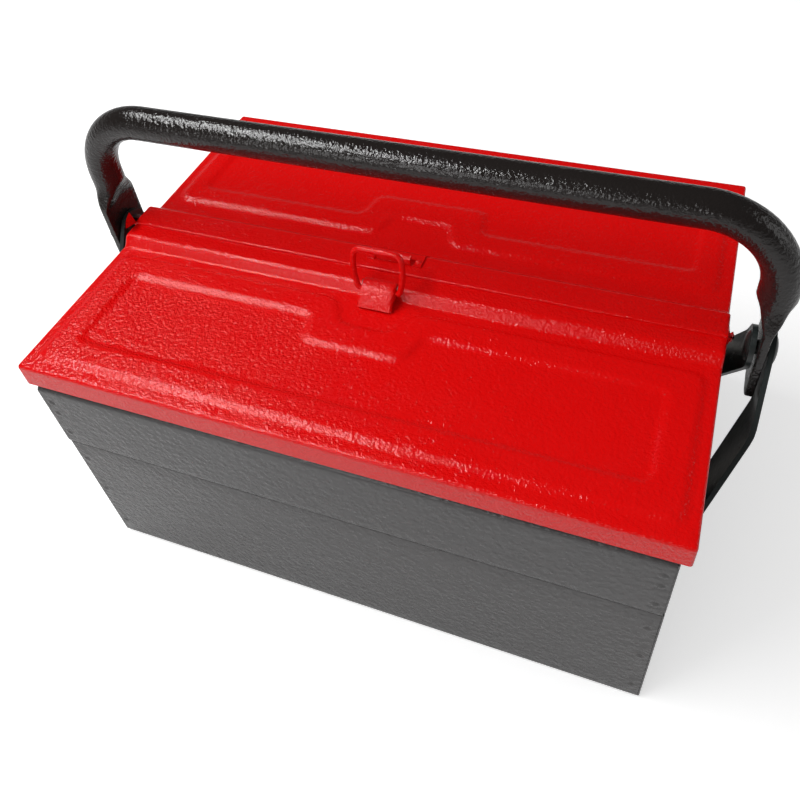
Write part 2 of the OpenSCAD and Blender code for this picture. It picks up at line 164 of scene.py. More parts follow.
class ToolboxFinish(bpy.types.PropertyGroup):
    """Colours and strengths of the finishes."""

    lid_red: FloatVectorProperty(
        name="Lid paint", description="Gloss enamel of the lids and the latch",
        subtype="COLOR", size=4, min=0.0, max=1.0, default=(0.78, 0.003, 0.003, 1.0),
    )
    body_grey: FloatVectorProperty(
        name="Body enamel", description="Wrinkled enamel of the box and the trays",
        subtype="COLOR", size=4, min=0.0, max=1.0, default=(0.07, 0.068, 0.069, 1.0),
    )
    tube_black: FloatVectorProperty(
        name="Handle coating", description="Black coating of the handle tube",
        subtype="COLOR", size=4, min=0.0, max=1.0, default=(0.012, 0.011, 0.011, 1.0),
    )
    strap_black: FloatVectorProperty(
        name="Strap coating", description="Black coating of the side straps",
        subtype="COLOR", size=4, min=0.0, max=1.0, default=(0.02, 0.026, 0.026, 1.0),
    )
    steel: FloatVectorProperty(
        name="Steel", description="Plated steel of rivets, links and rods",
        subtype="COLOR", size=4, min=0.0, max=1.0, default=(0.5, 0.48, 0.45, 1.0),
    )
    chips: FloatProperty(
        name="Chipped edges", description="Share of the edges where the paint is worn off",
        default=0.3, min=0.0, max=1.0, subtype="FACTOR",
    )


# Paths are lists of (depth, height) points in millimetres
def bent(points, radius, steps=5):
    """An open path with its inner corners rounded, at one radius or one for each corner."""
    radii = radius if isinstance(radius, (list, tuple)) else [radius] * (len(points) - 2)
    out = [Vector(points[0])]
    for before, corner, after, r in zip(points, points[1:], points[2:], radii):
        p = Vector(corner)
        a = Vector(before) - p
        b = Vector(after) - p
        half = a.angle(b) / 2
        cut = min(r / math.tan(half), 0.48 * a.length, 0.48 * b.length)
        a.normalize()
        b.normalize()
        centre = p + (a + b).normalized() * cut / math.cos(half)
        start = p + a * cut - centre
        end = p + b * cut - centre
        turn = start.angle(end) * (1 if start.x * end.y - start.y * end.x > 0 else -1)
        for k in range(steps + 1):
            s, c = math.sin(turn * k / steps), math.cos(turn * k / steps)
            out.append(centre + Vector((start.x * c - start.y * s, start.x * s + start.y * c)))
    out.append(Vector(points[-1]))
    return out


def filled(path, step):
    """The path with extra points, so that no stretch is longer than step."""
    out = [Vector(path[0])]
    for a, b in zip(path, path[1:]):
        count = max(1, math.ceil((Vector(b) - Vector(a)).length / step))
        out += [Vector(a).lerp(Vector(b), k / count) for k in range(1, count + 1)]
    return out


def outward(path):
    """Mitred unit offsets to the left of each point of a path."""
    out = []
    for i in range(len(path)):
        a = (path[i] - path[i - 1]).normalized() if i else None
        b = (path[i + 1] - path[i]).normalized() if i + 1 < len(path) else None
        a, b = a or b, b or a
        na, nb = Vector((-a.y, a.x)), Vector((-b.y, b.x))
        out.append((na + nb) / (1 + na.dot(nb)))
    return out


def bend_wear(path, reach):
    """How close each point of a path is to a bend or to an end, from 0 to 1."""
    along = [0.0]
    for a, b in zip(path, path[1:]):
        along.append(along[-1] + (b - a).length)
    marks = [0.0, along[-1]]
    for i in range(1, len(path) - 1):
        if (path[i] - path[i - 1]).angle(path[i + 1] - path[i]) > math.radians(6):
            marks.append(along[i])
    return [max(0.0, 1 - min(abs(s - m) for m in marks) / reach) for s in along]


def spaced(low, high, step):
    """Evenly spaced places from low to high, both included."""
    count = max(1, math.ceil((high - low) / step))
    return [low + (high - low) * k / count for k in range(count + 1)]


# Mesh builders, which collect millimetre vertices and faces
class Shape:
    """Vertices, faces and edge wear of one piece while it is built."""

    def __init__(self):
        self.verts = []
        self.faces = []
        self.wear = []

    def add(self, verts, faces, wear=0.0):
        """Adds vertices and the faces between them, and returns the first one's number."""
        first = len(self.verts)
        self.verts += [tuple(v) for v in verts]
        self.faces += [tuple(first + i for i in f) for f in faces]
        self.wear += list(wear) if isinstance(wear, (list, tuple)) else [wear] * len(verts)
        return first

    def grid(self, rings, wear=0.0, closed=False):
        """Joins rings of equal length with four-sided faces."""
        size = len(rings[0])
        faces = []
        for i in range(len(rings) - 1):
            for j in range(size if closed else size - 1):
                k = (j + 1) % size
                faces.append((i * size + j, (i + 1) * size + j, (i + 1) * size + k, i * size + k))
        return self.add([v for ring in rings for v in ring], faces, wear)

    def loft(self, rings, wear=0.0):
        """A closed skin through closed rings, capped at both ends."""
        first = self.grid(rings, wear, closed=True)
        size = len(rings[0])
        last = first + (len(rings) - 1) * size
        self.faces.append(tuple(range(first, first + size)))
        self.faces.append(tuple(reversed(range(last, last + size))))

    def prism(self, outline, x0, x1, wear=0.6):
        """A flat plate with a [depth, height] outline, from x0 to x1."""
        self.loft([[(x, p[0], p[1]) for p in outline] for x in (x0, x1)], wear)

    def block(self, low, high, wear=0.6):
        """A straight-sided plate between two corners."""
        outline = [(low[1], low[2]), (high[1], low[2]), (high[1], high[2]), (low[1], high[2])]
        self.prism(outline, low[0], high[0], wear)

    def turned(self, profile, at, axis="X", count=28, wear=0.3):
        """A solid of revolution: profile holds (radius, place along the axis) from end to end."""
        rings = []
        for r, h in profile:
            ring = []
            for k in range(count):
                a = 2 * math.pi * k / count
                u, v = max(r, 0.02) * math.cos(a), max(r, 0.02) * math.sin(a)
                if axis == "X":
                    ring.append((at[0] + h, at[1] + u, at[2] + v))
                else:
                    ring.append((at[0] + u, at[1] + v, at[2] + h))
            rings.append(ring)
        self.loft(rings, wear)

    def hinge_roll(self, at, r, x0, x1, count=16):
        """A rolled hinge knuckle with its bore."""
        rings = []
        for x, radius in ((x0, KNUCKLE_BORE), (x0, r), (x1, r), (x1, KNUCKLE_BORE), (x0, KNUCKLE_BORE)):
            rings.append([
                (x, at[0] + radius * math.cos(2 * math.pi * k / count),
                 at[1] + radius * math.sin(2 * math.pi * k / count))
                for k in range(count)
            ])
        self.grid(rings, 0.2, closed=True)


def mesh_of(shape, name):
    """A mesh in metres, with the wear kept as a point attribute."""
    mesh = bpy.data.meshes.new(name)
    mesh.from_pydata([(x * MM, y * MM, z * MM) for x, y, z in shape.verts], [], shape.faces)
    layer = mesh.attributes.new("wear", "FLOAT", "POINT")
    layer.data.foreach_set("value", np.array(shape.wear, np.float32))
    mesh.update()
    return mesh


def thickened(shape, thickness, name):
    """The sheet of a shape given its thickness, on the inner side."""
    mesh = mesh_of(shape, name)
    obj = bpy.data.objects.new(name, mesh)
    bpy.context.scene.collection.objects.link(obj)
    solid = obj.modifiers.new("thickness", "SOLIDIFY")
    solid.thickness = thickness * MM
    solid.offset = -1
    solid.use_even_offset = True
    graph = bpy.context.evaluated_depsgraph_get()
    made = bpy.data.meshes.new_from_object(obj.evaluated_get(graph), depsgraph=graph)
    bpy.data.objects.remove(obj)
    bpy.data.meshes.remove(mesh)
    return made


def finish_of(slot):
    """The finish that this script makes for a slot."""
    return bpy.data.materials[slot + MADE]


def placed(meshes, name, body, finish, nodes=(), smooth=38.0, edge=0.0):
    """Makes one piece of the meshes, puts it on its body and gives it its finish."""
    bm = bmesh.new()
    for mesh in meshes:
        bm.from_mesh(mesh)
        bpy.data.meshes.remove(mesh)
    mesh = bpy.data.meshes.new(name)
    bm.to_mesh(mesh)
    bm.free()
    mesh.validate()
    mesh.shade_smooth()
    mesh.set_sharp_from_angle(angle=math.radians(smooth))
    obj = bpy.data.objects.new(name, mesh)
    bpy.context.scene.collection.objects.link(obj)
    mesh.materials.append(finish_of(finish))
    if edge:
        bevel = obj.modifiers.new("edges", "BEVEL")
        bevel.width = edge
        bevel.segments = 3
        bevel.limit_method = "ANGLE"
        bevel.angle_limit = math.radians(35)
        bevel.harden_normals = True
    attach(obj, body)
    if nodes:
        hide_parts(*nodes)


def flipped(shape, x_sign, y_sign):
    """The shape mirrored along x or y, with its faces still turned outwards."""
    out = Shape()
    out.verts = [(x_sign * x, y_sign * y, z) for x, y, z in shape.verts]
    out.faces = [tuple(reversed(f)) for f in shape.faces]
    out.wear = list(shape.wear)
    return out


def mirrored(shape, side):
    """The shape as it is on the right end, or mirrored to the left end."""
    return shape if side > 0 else flipped(shape, -1, 1)


def turned_round(shape, row):
    """The shape as it is on the front, or mirrored to the rear."""
    return shape if row < 0 else flipped(shape, 1, -1)


def sheet_along_x(path, rings, relief=None, caps=(), reach=3.0):
    """A folded sheet: a path carried along x. Each ring is (x, inset), and caps close the ends."""
    sides = outward(path)
    wear_path = bend_wear(path, reach)
    ends = (rings[0][0], rings[-1][0])
    shape = Shape()
    rows = []
    wear = []
    for x, inset in rings:
        row = []
        for p, n in zip(path, sides):
            lift = relief(x, p) if relief else 0.0
            q = p + n * (lift - inset)
            row.append((x, q.x, q.y))
        rows.append(row)
        near_end = max(0.0, 1 - min(abs(x - e) for e in ends) / reach)
        wear += [max(w, near_end) for w in wear_path]
    first = shape.grid(rows, wear)
    size = len(path)
    last = first + (len(rings) - 1) * size
    if caps:
        for start, x, flip in ((first, ends[0], False), (last, ends[1], True)):
            extra = shape.add([(x, y, z) for y, z in caps], [], 1.0)
            loop = list(range(start, start + size)) + list(range(extra, extra + len(caps)))
            shape.faces.append(tuple(reversed(loop) if flip else loop))
    return shape


def rounded_rings(half, radius, step, steps=4):
    """Ring places along x whose ends are rounded over by radius."""
    ends = [(half - radius * (1 - math.sin(a)), radius * (1 - math.cos(a)))
            for a in (math.pi / 2 * k / steps for k in range(1, steps + 1))]
    middle = [(x, 0.0) for x in spaced(-half + radius, half - radius, step)]
    return [(-x, inset) for x, inset in reversed(ends)] + middle + ends


# Embossed frames of the lids: half length, far side, near side, and the step's two half widths and its side
FRONT_FRAME_OUTER = (148.5, -103, -28.8, 20.5, 12.6, -44)
FRONT_FRAME_INNER = (134.6, -89.3, -41.8, 28.8, 25, -58.3)
REAR_FRAME_OUTER = (148, 103, 23, 20.5, 16.2, 38)
REAR_FRAME_INNER = (136.8, 89.3, 35.3, 34, 30.6, 53.3)
FRAME_CORNER_OUTER = 6.0
FRAME_CORNER_INNER = 5.0


def stepped_outline(half_x, far_y, near_y, notch_wide, notch_tight, notch_y):
    """An embossed frame's outline as (x, depth), with a step round the latch."""
    return [
        (-half_x, far_y), (half_x, far_y), (half_x, near_y), (LATCH_X + notch_wide, near_y),
        (LATCH_X + notch_tight, notch_y), (LATCH_X - notch_tight, notch_y),
        (LATCH_X - notch_wide, near_y), (-half_x, near_y),
    ]


def outline_distance(points, outline):
    """Signed distance of many points to a closed outline, negative inside."""
    p = np.asarray(points, float)
    near = np.full(len(p), 1e9)
    inside = np.zeros(len(p), bool)
    for a, b in zip(outline, outline[1:] + outline[:1]):
        a, b = np.array(a, float), np.array(b, float)
        way = b - a
        k = np.clip(((p - a) @ way) / (way @ way), 0, 1)
        near = np.minimum(near, np.linalg.norm(p - a - k[:, None] * way, axis=1))
        crosses = (a[1] > p[:, 1]) != (b[1] > p[:, 1])
        rise = b[1] - a[1] if b[1] != a[1] else 1e-9
        inside ^= crosses & (p[:, 0] < a[0] + way[0] * (p[:, 1] - a[1]) / rise)
    return np.where(inside, -near, near)


def rounded_outline(outline, radius, steps=5):
    """A closed outline with each corner rounded by a quadratic curve."""
    out = []
    for i, corner in enumerate(outline):
        p = Vector(corner)
        a = p + (Vector(outline[i - 1]) - p).normalized() * radius
        b = p + (Vector(outline[(i + 1) % len(outline)]) - p).normalized() * radius
        for k in range(steps + 1):
            s = k / steps
            out.append(tuple((1 - s) ** 2 * a + 2 * s * (1 - s) * p + s * s * b))
    return out


def ease(values):
    """Smooth step of values clipped to 0 to 1."""
    t = np.clip(values, 0, 1)
    return t * t * (3 - 2 * t)


def emboss_relief(shape, outer, inner, height, slope):
    """Lifts the flat top of a lid between its two frame outlines."""
    top = [i for i, v in enumerate(shape.verts) if abs(v[2] - LID_TOP) < 0.01]
    points = [shape.verts[i][:2] for i in top]
    outer = rounded_outline(stepped_outline(*outer), FRAME_CORNER_OUTER)
    inner = rounded_outline(stepped_outline(*inner), FRAME_CORNER_INNER)
    rise = ease(0.5 - outline_distance(points, outer) / slope)
    fall = ease(0.5 - outline_distance(points, inner) / slope)
    for i, lift in zip(top, height * rise * (1 - fall)):
        x, y, z = shape.verts[i]
        shape.verts[i] = (x, y, z + float(lift))


def knuckle_spans(first):
    """Start and end along x of every second knuckle, from the given one."""
    starts = [ROW_START + i * KNUCKLE_L + KNUCKLE_GAP / 2 for i in range(first, KNUCKLES, 2)]
    return [(x, x + KNUCKLE_L - KNUCKLE_GAP) for x in starts]


def knuckles(row, first, r):
    """The rolled hinge knuckles of a lid or of a tray."""
    shape = Shape()
    for x0, x1 in knuckle_spans(first):
        shape.hinge_roll(HINGE, r, x0, x1)
    return turned_round(shape, row)


def make_lids(sizes):
    """The stamped front and rear lids."""
    edge = sizes.lid_edge / MM
    bend = sizes.ridge_bend / MM
    rings = rounded_rings(LID_HALF_L, LID_END_R, LID_RING_STEP)
    front = bent(
        [(-LID_Y, FLANGE_Z), (-LID_Y, LID_TOP), (FRONT_RIDGE_FOOT, LID_TOP), (FRONT_RIDGE_TOP, FRONT_RIDGE),
         (FRONT_RIDGE_END, FRONT_RIDGE)],
        [edge, bend, bend * 1.7], 6,
    )
    rear = bent(
        [(REAR_RIDGE_LIP, REAR_RIDGE - REAR_LIP_DROP), (REAR_RIDGE_LIP, REAR_RIDGE),
         (REAR_RIDGE_TOP, REAR_RIDGE), (REAR_RIDGE_FOOT, LID_TOP), (LID_Y, LID_TOP), (LID_Y, FLANGE_Z)],
        [LID_LIP_R, bend, bend, edge], 6,
    )
    rear_end = ((-5.0, FLANGE_Z), (-5.0, REAR_RIDGE - 1.3))
    for name, row, path, caps, outer, inner in (
        ("front", -1, front, ((FRONT_RIDGE_END, FLANGE_Z),), FRONT_FRAME_OUTER, FRONT_FRAME_INNER),
        ("rear", 1, rear, rear_end, REAR_FRAME_OUTER, REAR_FRAME_INNER),
    ):
        sheet = sheet_along_x(filled(path, LID_STEP), rings, caps=caps)
        emboss_relief(sheet, outer, inner, sizes.emboss / MM, sizes.emboss_slope / MM)
        node = f"{name}_lid"
        parts = [thickened(sheet, SHEET, node + "_sheet"), mesh_of(knuckles(row, 0, LID_KNUCKLE_R), "rolls")]
        placed(parts, "stamped_" + node, node, LID_PAINT, [node], 50.0)


# Box and trays
WELD_X = 146.0
WELD_REACH = 3.2
WELD_STEP = 0.6
BOX_WELDS = (77.0, 48.0, 14.0)
TRAY_WELDS = (125.5, 117.0, 101.0)
HEM = 2.2
HEM_DOWN = 7
FLOOR_BEND_R = 2.4
WALL_STEP = 14
TAB_X = HALF_L - 13
END_X = HALF_L - SHEET


def weld_relief(heights, depth):
    """Relief of the spot-weld marks beside the ends of a wall."""
    def relief(x, p):
        if abs(abs(x) - WELD_X) > WELD_REACH or abs(p.x) < HALF_D - 0.1:
            return 0.0
        for z in heights:
            d = math.hypot(abs(x) - WELD_X, p.y - z)
            if d < WELD_REACH:
                return -depth * math.exp(-(d / 1.3) ** 2) + 0.3 * depth * math.exp(-((d - 2.1) / 0.6) ** 2)
        return 0.0
    return relief


def wall_rings():
    """Ring places of a wall, closer together at the weld marks."""
    welds = spaced(WELD_X - WELD_REACH, END_X, WELD_STEP)
    places = [-x for x in reversed(welds)] + spaced(-WELD_X + 8, WELD_X - 8, 12) + welds
    return [(x, 0.0) for x in places]


def weld_fill(path, heights):
    """The path with short steps beside the weld heights of the upright walls."""
    out = [path[0]]
    for a, b in zip(path, path[1:]):
        marks = []
        if abs(a.x - b.x) < 0.01 and abs(a.x) > HALF_D - 0.1:
            for z in heights:
                marks += [z + k * WELD_STEP for k in range(-5, 6)]
        low, high = min(a.y, b.y), max(a.y, b.y)
        marks = sorted(z for z in marks if low + 0.2 < z < high - 0.2)
        out += [Vector((a.x, z)) for z in (marks if b.y > a.y else reversed(marks))]
        out.append(b)
    return out


def make_box(sizes):
    """The bottom box: one folded sheet with hemmed rims, and two welded end walls."""
    rim = BOX_H
    hem_y = HALF_D - HEM
    points = [(-hem_y, rim - HEM_DOWN), (-hem_y, rim), (-HALF_D, rim), (-HALF_D, 0.0)]
    points += [(-y, z) for y, z in reversed(points)]
    path = bent(points, [1.05, 1.05, FLOOR_BEND_R, FLOOR_BEND_R, 1.05, 1.05], 6)
    path = outline_towards_outside([Vector((-p.x, p.y)) for p in reversed(path)])
    path = filled(weld_fill(path, BOX_WELDS), WALL_STEP)
    sheet = sheet_along_x(path, wall_rings(), weld_relief(BOX_WELDS, sizes.weld_depth / MM))
    placed([thickened(sheet, 0.9, "box_sheet")], "folded_bottom_box", "box", BODY_PAINT, ["bottom_box"], 50.0)
    for side, node in ((-1, "bottom_end_left"), (1, "bottom_end_right")):
        outline = bent([(-HALF_D, rim), (-HALF_D, 0.0), (HALF_D, 0.0), (HALF_D, rim)], FLOOR_BEND_R, 5)
        plate = end_plate(outline)
        for y in (-HALF_D + SHEET, HALF_D - 2 * SHEET):
            plate.block((TAB_X, y, 3.4), (END_X, y + SHEET, rim - 9), 0.2)
        plate.block((HALF_L - HEM, -HALF_D + 2.6, rim - HEM_DOWN), (END_X, HALF_D - 2.6, rim - 0.2), 0.6)
        placed([mesh_of(mirrored(plate, side), node)], "welded_" + node, "box", BODY_PAINT, [node], 50.0)


def outline_towards_outside(path):
    """The path in the direction whose left side is the outside of the sheet."""
    area = sum(a.x * b.y - b.x * a.y for a, b in zip(path, path[1:] + path[:1]))
    return path if area < 0 else list(reversed(path))


def end_plate(outline):
    """An end wall whose outer edge is rounded over, from a closed outline."""
    path = [Vector(p) for p in outline]
    if sum(a.x * b.y - b.x * a.y for a, b in zip(path, path[1:] + path[:1])) < 0:
        path.reverse()
    closed = [path[-1]] + path + [path[0]]
    sides = [-n for n in outward(closed)[1:-1]]
    shape = Shape()
    rings = []
    for x, inset in ((END_X, 0.25), (HALF_L - 0.8, 0.0), (HALF_L - 0.55, 0.05),
                     (HALF_L - 0.28, 0.2), (HALF_L - 0.08, 0.45), (HALF_L, 0.75)):
        rings.append([(x, (p - n * inset).x, (p - n * inset).y) for p, n in zip(path, sides)])
    shape.loft([list(reversed(r)) for r in rings], 1.0)
    return shape


def make_trays(sizes):
    """The two trays, each a folded sheet with two welded end walls and its hinge knuckles."""
    depth = sizes.weld_depth / MM
    for row, name in ((-1, "front"), (1, "rear")):
        path = bent(
            [(-TRAY_SPLIT, TRAY_TOP), (-TRAY_SPLIT, TRAY_Z), (-HALF_D, TRAY_Z), (-HALF_D, SHOULDER_Z),
             (SHOULDER_Y, SHOULDER_Z)],
            [2.2, 2.2, 1.6], 6,
        )
        path = filled(weld_fill(wall_towards_outside(path), TRAY_WELDS), WALL_STEP)
        sheet = sheet_along_x(path, wall_rings(), weld_relief(TRAY_WELDS, depth))
        web = Shape()
        for x0, x1 in knuckle_spans(1):
            web.block((x0, -108.2, SHOULDER_Z - 0.5), (x1, -107.7, HINGE[1]), 0.2)
        placed(
            [thickened(turned_round(sheet, row), 0.95, "tray_sheet"), mesh_of(turned_round(web, row), "webs"),
             mesh_of(knuckles(row, 1, TRAY_KNUCKLE_R), "rolls")],
            f"folded_{name}_tray", f"{name}_tray", BODY_PAINT, [f"{name}_tray"], 50.0,
        )
        outline = bent(
            [(-HALF_D, SHOULDER_Z - 0.1), (-HALF_D, TRAY_Z), (-TRAY_SPLIT, TRAY_Z), (-TRAY_SPLIT, TRAY_TOP),
             (-100.0, TRAY_TOP), (-105.0, SHOULDER_Z - 0.1)],
            [2.2, 2.2, 1.0, 2.0], 5,
        )
        for side, end in ((-1, "left"), (1, "right")):
            plate = end_plate(outline)
            plate.block((TAB_X, -HALF_D + SHEET, 95.0), (END_X, -HALF_D + 2 * SHEET, 132.0), 0.2)
            node = f"{name}_tray_end_{end}"
            shape = turned_round(mirrored(plate, side), row)
            placed([mesh_of(shape, node)], "welded_" + node, f"{name}_tray", BODY_PAINT, [node], 50.0)


def wall_towards_outside(path):
    """The front tray's path, turned so that its left side is the outside of the sheet."""
    first = path[0] - path[1]
    return path if first.y < 0 else list(reversed(path))


# Bars, rivets and the handle
def fold_profile(bends, z):
    """Sideways place of a folded bar at a height, along straight stretches joined by soft bends."""
    zs = [b[1] for b in bends]
    xs = [b[0] for b in bends]
    offsets = (-2.4, -1.2, 0.0, 1.2, 2.4)
    return float(np.mean([np.interp(z + d, zs, xs) for d in offsets]))


def bar(foot, head, width, thickness, bends):
    """A flat bar with round ends between two [depth, height] points, folded sideways."""
    a, b = Vector(foot), Vector(head)
    way = (b - a).normalized()
    across = Vector((-way.y, way.x))
    length = (b - a).length
    r = width / 2
    tip = [math.radians(d) for d in (9, 20, 32, 45, 58, 72)]
    stations = [(-r * math.cos(t), r * math.sin(t)) for t in tip]
    stations += [(s, r) for s in spaced(0, length, 4)]
    stations += [(length + r * math.cos(t), r * math.sin(t)) for t in reversed(tip)]
    shares = (-1, -0.92, -0.5, 0, 0.5, 0.92, 1)
    rings = []
    wear = []
    for s, half in stations:
        ring = []
        for k in shares:
            p = a + way * s + across * (half * k)
            ring.append((fold_profile(bends, p.y) + thickness, p.x, p.y))
        for k in reversed(shares):
            p = a + way * s + across * (half * k)
            ring.append((fold_profile(bends, p.y), p.x, p.y))
        rings.append(ring)
        wear += [1.0 if abs(k) == 1 else 0.1 for k in shares + tuple(reversed(shares))]
    shape = Shape()
    shape.loft(rings, wear)
    return shape


def dome(r, t, steps=5):
    """Profile of a rivet's domed head, from its middle to its rim."""
    out = []
    for k in range(steps + 1):
        a = math.radians(12 + 68 * k / steps)
        out.append((r * 0.96 * math.sin(a) / math.sin(math.radians(80)),
                    t * (0.25 + 0.75 * (math.cos(a) - math.cos(math.radians(80))) / 0.8)))
    return out + [(r, t * 0.12), (r, 0.0)]


def rivet_x(shape, at, sizes, x0, x1):
    """A rivet along x with two domed heads. Its sizes are shank radius, head radius and head height."""
    shank, r, t = sizes
    head = dome(r, t)
    profile = [(p, x0 - h) for p, h in head] + [(shank, x0), (shank, x1)]
    profile += [(p, x1 + h) for p, h in reversed(head)]
    shape.turned(profile, (0.0, at[0], at[1]))


def make_links(sizes):
    """The eight tray links and the rivets they turn on."""
    edge = sizes.plate_edge
    flat = [(LINK_X, 0.0), (LINK_X, 200.0)]
    for row, name in ((-1, "front"), (1, "rear")):
        for side, end in ((-1, "left"), (1, "right")):
            for foot, head, kind in ((OUTER_FOOT, OUTER_HEAD, "outer"), (INNER_FOOT, INNER_HEAD, "inner")):
                shape = bar(foot, head, LINK_W, LINK_T, flat)
                shape = turned_round(mirrored(shape, side), row)
                node = f"{name}_{kind}_link_{end}"
                body = f"{name}_{kind}_links"
                placed([mesh_of(shape, node)], "flat_" + node, body, STEEL, [node], 35.0, edge)
    short = LINK_X + LINK_T + 0.2
    long = STRAP_LOW_X + STRAP_T
    box_rivets = []
    tray_rivets = {-1: [], 1: []}
    for row in (-1, 1):
        for side in (-1, 1):
            for rivets, spots in (
                (box_rivets, ((OUTER_FOOT, short), (INNER_FOOT, long))),
                (tray_rivets[row], ((OUTER_HEAD, short), (INNER_HEAD, short))),
            ):
                shape = Shape()
                for at, outer_end in spots:
                    rivet_x(shape, at, LINK_RIVET, END_X, outer_end)
                rivets.append(mesh_of(turned_round(mirrored(shape, side), row), "rivets"))
    placed(box_rivets, "domed_box_link_rivets", "box", STEEL, ["box_link_rivets"])
    for row, name in ((-1, "front"), (1, "rear")):
        node = f"{name}_tray_rivets"
        placed(tray_rivets[row], "domed_" + node, f"{name}_tray", STEEL, [node])


def make_straps(sizes):
    """The four folded side straps that carry the handle."""
    for row, side, outside, node in (
        (-1, -1, False, "front_left_strap"), (-1, 1, True, "front_right_strap"),
        (1, -1, True, "rear_left_strap"), (1, 1, False, "rear_right_strap"),
    ):
        top_x = STRAP_OUT_X if outside else STRAP_IN_X
        fold_z = OUTER_FOLD_Z if outside else INNER_FOLD_Z
        bends = [(STRAP_LOW_X, 0.0), (STRAP_LOW_X, STRAP_FOLD_Z), (top_x, fold_z), (top_x, 200.0)]
        shape = bar(INNER_FOOT, (0.0, PIVOT_Z), STRAP_W, STRAP_T, bends)
        shape = turned_round(mirrored(shape, side), row)
        placed([mesh_of(shape, node)], "folded_" + node, "box", STRAP_PAINT, [node], 35.0, sizes.plate_edge)


def tube_ring(centre, across, half_t, half_w, power, pinch, count=44):
    """One section of the handle: a circle that goes over into a flat bar with a pinched middle."""
    ring = []
    for k in range(count):
        a = 2 * math.pi * (k + 0.5) / count
        c, s = math.cos(a), math.sin(a)
        reach = (abs(c) ** power + abs(s) ** power) ** (-1 / power)
        u, v = c * reach, s * reach
        u *= 1 - pinch * (1 - v * v) ** 2
        ring.append(tuple(centre + across * (half_t * u) + Vector((0, half_w * v, 0))))
    return ring


def handle_stations():
    """Centre, outward direction and section of the right half of the handle, from the paddle's end up."""
    out = []
    corner = 6.0
    flat = 9.0
    outside = Vector((1, 0, 0))
    for k in range(7):
        a = math.radians(15 * k)
        z = PADDLE_LOW + corner * (1 - math.cos(a))
        half_w = PADDLE_HALF_W - corner + corner * math.sin(max(a, 0.12))
        half_t = PADDLE_HALF_T - (0.5 if k == 0 else 0.0)
        out.append((Vector((LEG_X, 0, z)), outside, half_t, half_w, flat, 0.0))
    for z in spaced(PADDLE_LOW + corner + 3, PADDLE_HIGH - 3, 4):
        out.append((Vector((LEG_X, 0, z)), outside, PADDLE_HALF_T, PADDLE_HALF_W, flat, 0.0))
    for z in spaced(PADDLE_HIGH, TUBE_ROUND_Z, 1.6):
        s = (z - PADDLE_HIGH) / (TUBE_ROUND_Z - PADDLE_HIGH)
        e = float(ease(s))
        half_t = PADDLE_HALF_T + (TUBE_R - PADDLE_HALF_T) * e
        half_w = PADDLE_HALF_W + (TUBE_R - PADDLE_HALF_W) * e
        power = 2 + (flat - 2) * (1 - e) ** 2
        pinch = 0.42 * math.sin(math.pi * min(1.0, s * 1.02)) * (1 - s * 0.55)
        out.append((Vector((LEG_X, 0, z)), outside, half_t, half_w, power, pinch))
    bend_centre = Vector((LEG_X - BEND_R, 0, GRIP_Z - BEND_R))
    for k in range(19):
        a = math.radians(5 * k)
        way = Vector((math.cos(a), 0, math.sin(a)))
        squeeze = 0.35 * math.sin(2 * a)
        out.append((bend_centre + way * BEND_R, way, TUBE_R - squeeze, TUBE_R + squeeze * 0.5, 2.0, 0.0))
    return out


def make_handle():
    """The bent handle tube with its crushed ends, and the two rivets it swings on."""
    right = handle_stations()
    rings = [tube_ring(*s) for s in right]
    grip_half = LEG_X - BEND_R
    middle = [
        tube_ring(Vector((x, 0, GRIP_Z)), Vector((0, 0, 1)), TUBE_R, TUBE_R, 2.0, 0.0)
        for x in reversed(spaced(-grip_half, grip_half, 8)[1:-1])
    ]
    left = []
    for centre, way, half_t, half_w, power, pinch in reversed(right):
        mirror_way = Vector((-way.x, 0, way.z))
        left.append(tube_ring(Vector((-centre.x, 0, centre.z)), mirror_way, half_t, half_w, power, pinch))
    shape = Shape()
    every = rings + middle + left
    wear = []
    for ring in every:
        low = ring[0][2] < PADDLE_HIGH + 4
        wear += [0.8 if low and abs(p[1]) > PADDLE_HALF_W - 2 else 0.0 for p in ring]
    shape.loft(every, wear)
    placed([mesh_of(shape, "tube")], "crushed_end_handle_tube", "handle", HANDLE_PAINT, ["handle_tube"], 40.0)
    rivets = Shape()
    rivet_x(rivets, (0.0, PIVOT_Z), HANDLE_RIVET, STRAP_IN_X, STRAP_OUT_X + STRAP_T)
    placed(
        [mesh_of(rivets, "rivet"), mesh_of(mirrored(rivets, -1), "rivet")],
        "domed_handle_rivets", "box", STRAP_PAINT, ["handle_rivets"],
    )


# Latch
def wire_path(points, r, count=14):
    """Rings of a round wire through points that lie in one upright plane facing -y."""
    rings = []
    for i, p in enumerate(points):
        before = points[max(i - 1, 0)]
        after = points[min(i + 1, len(points) - 1)]
        way = (Vector(after) - Vector(before)).normalized()
        side = Vector((way.y, -way.x))
        ring = []
        for k in range(count):
            a = 2 * math.pi * k / count
            q = Vector(p) + side * (r * math.cos(a))
            ring.append((q.x, r * math.sin(a), q.y))
        rings.append(ring)
    return rings


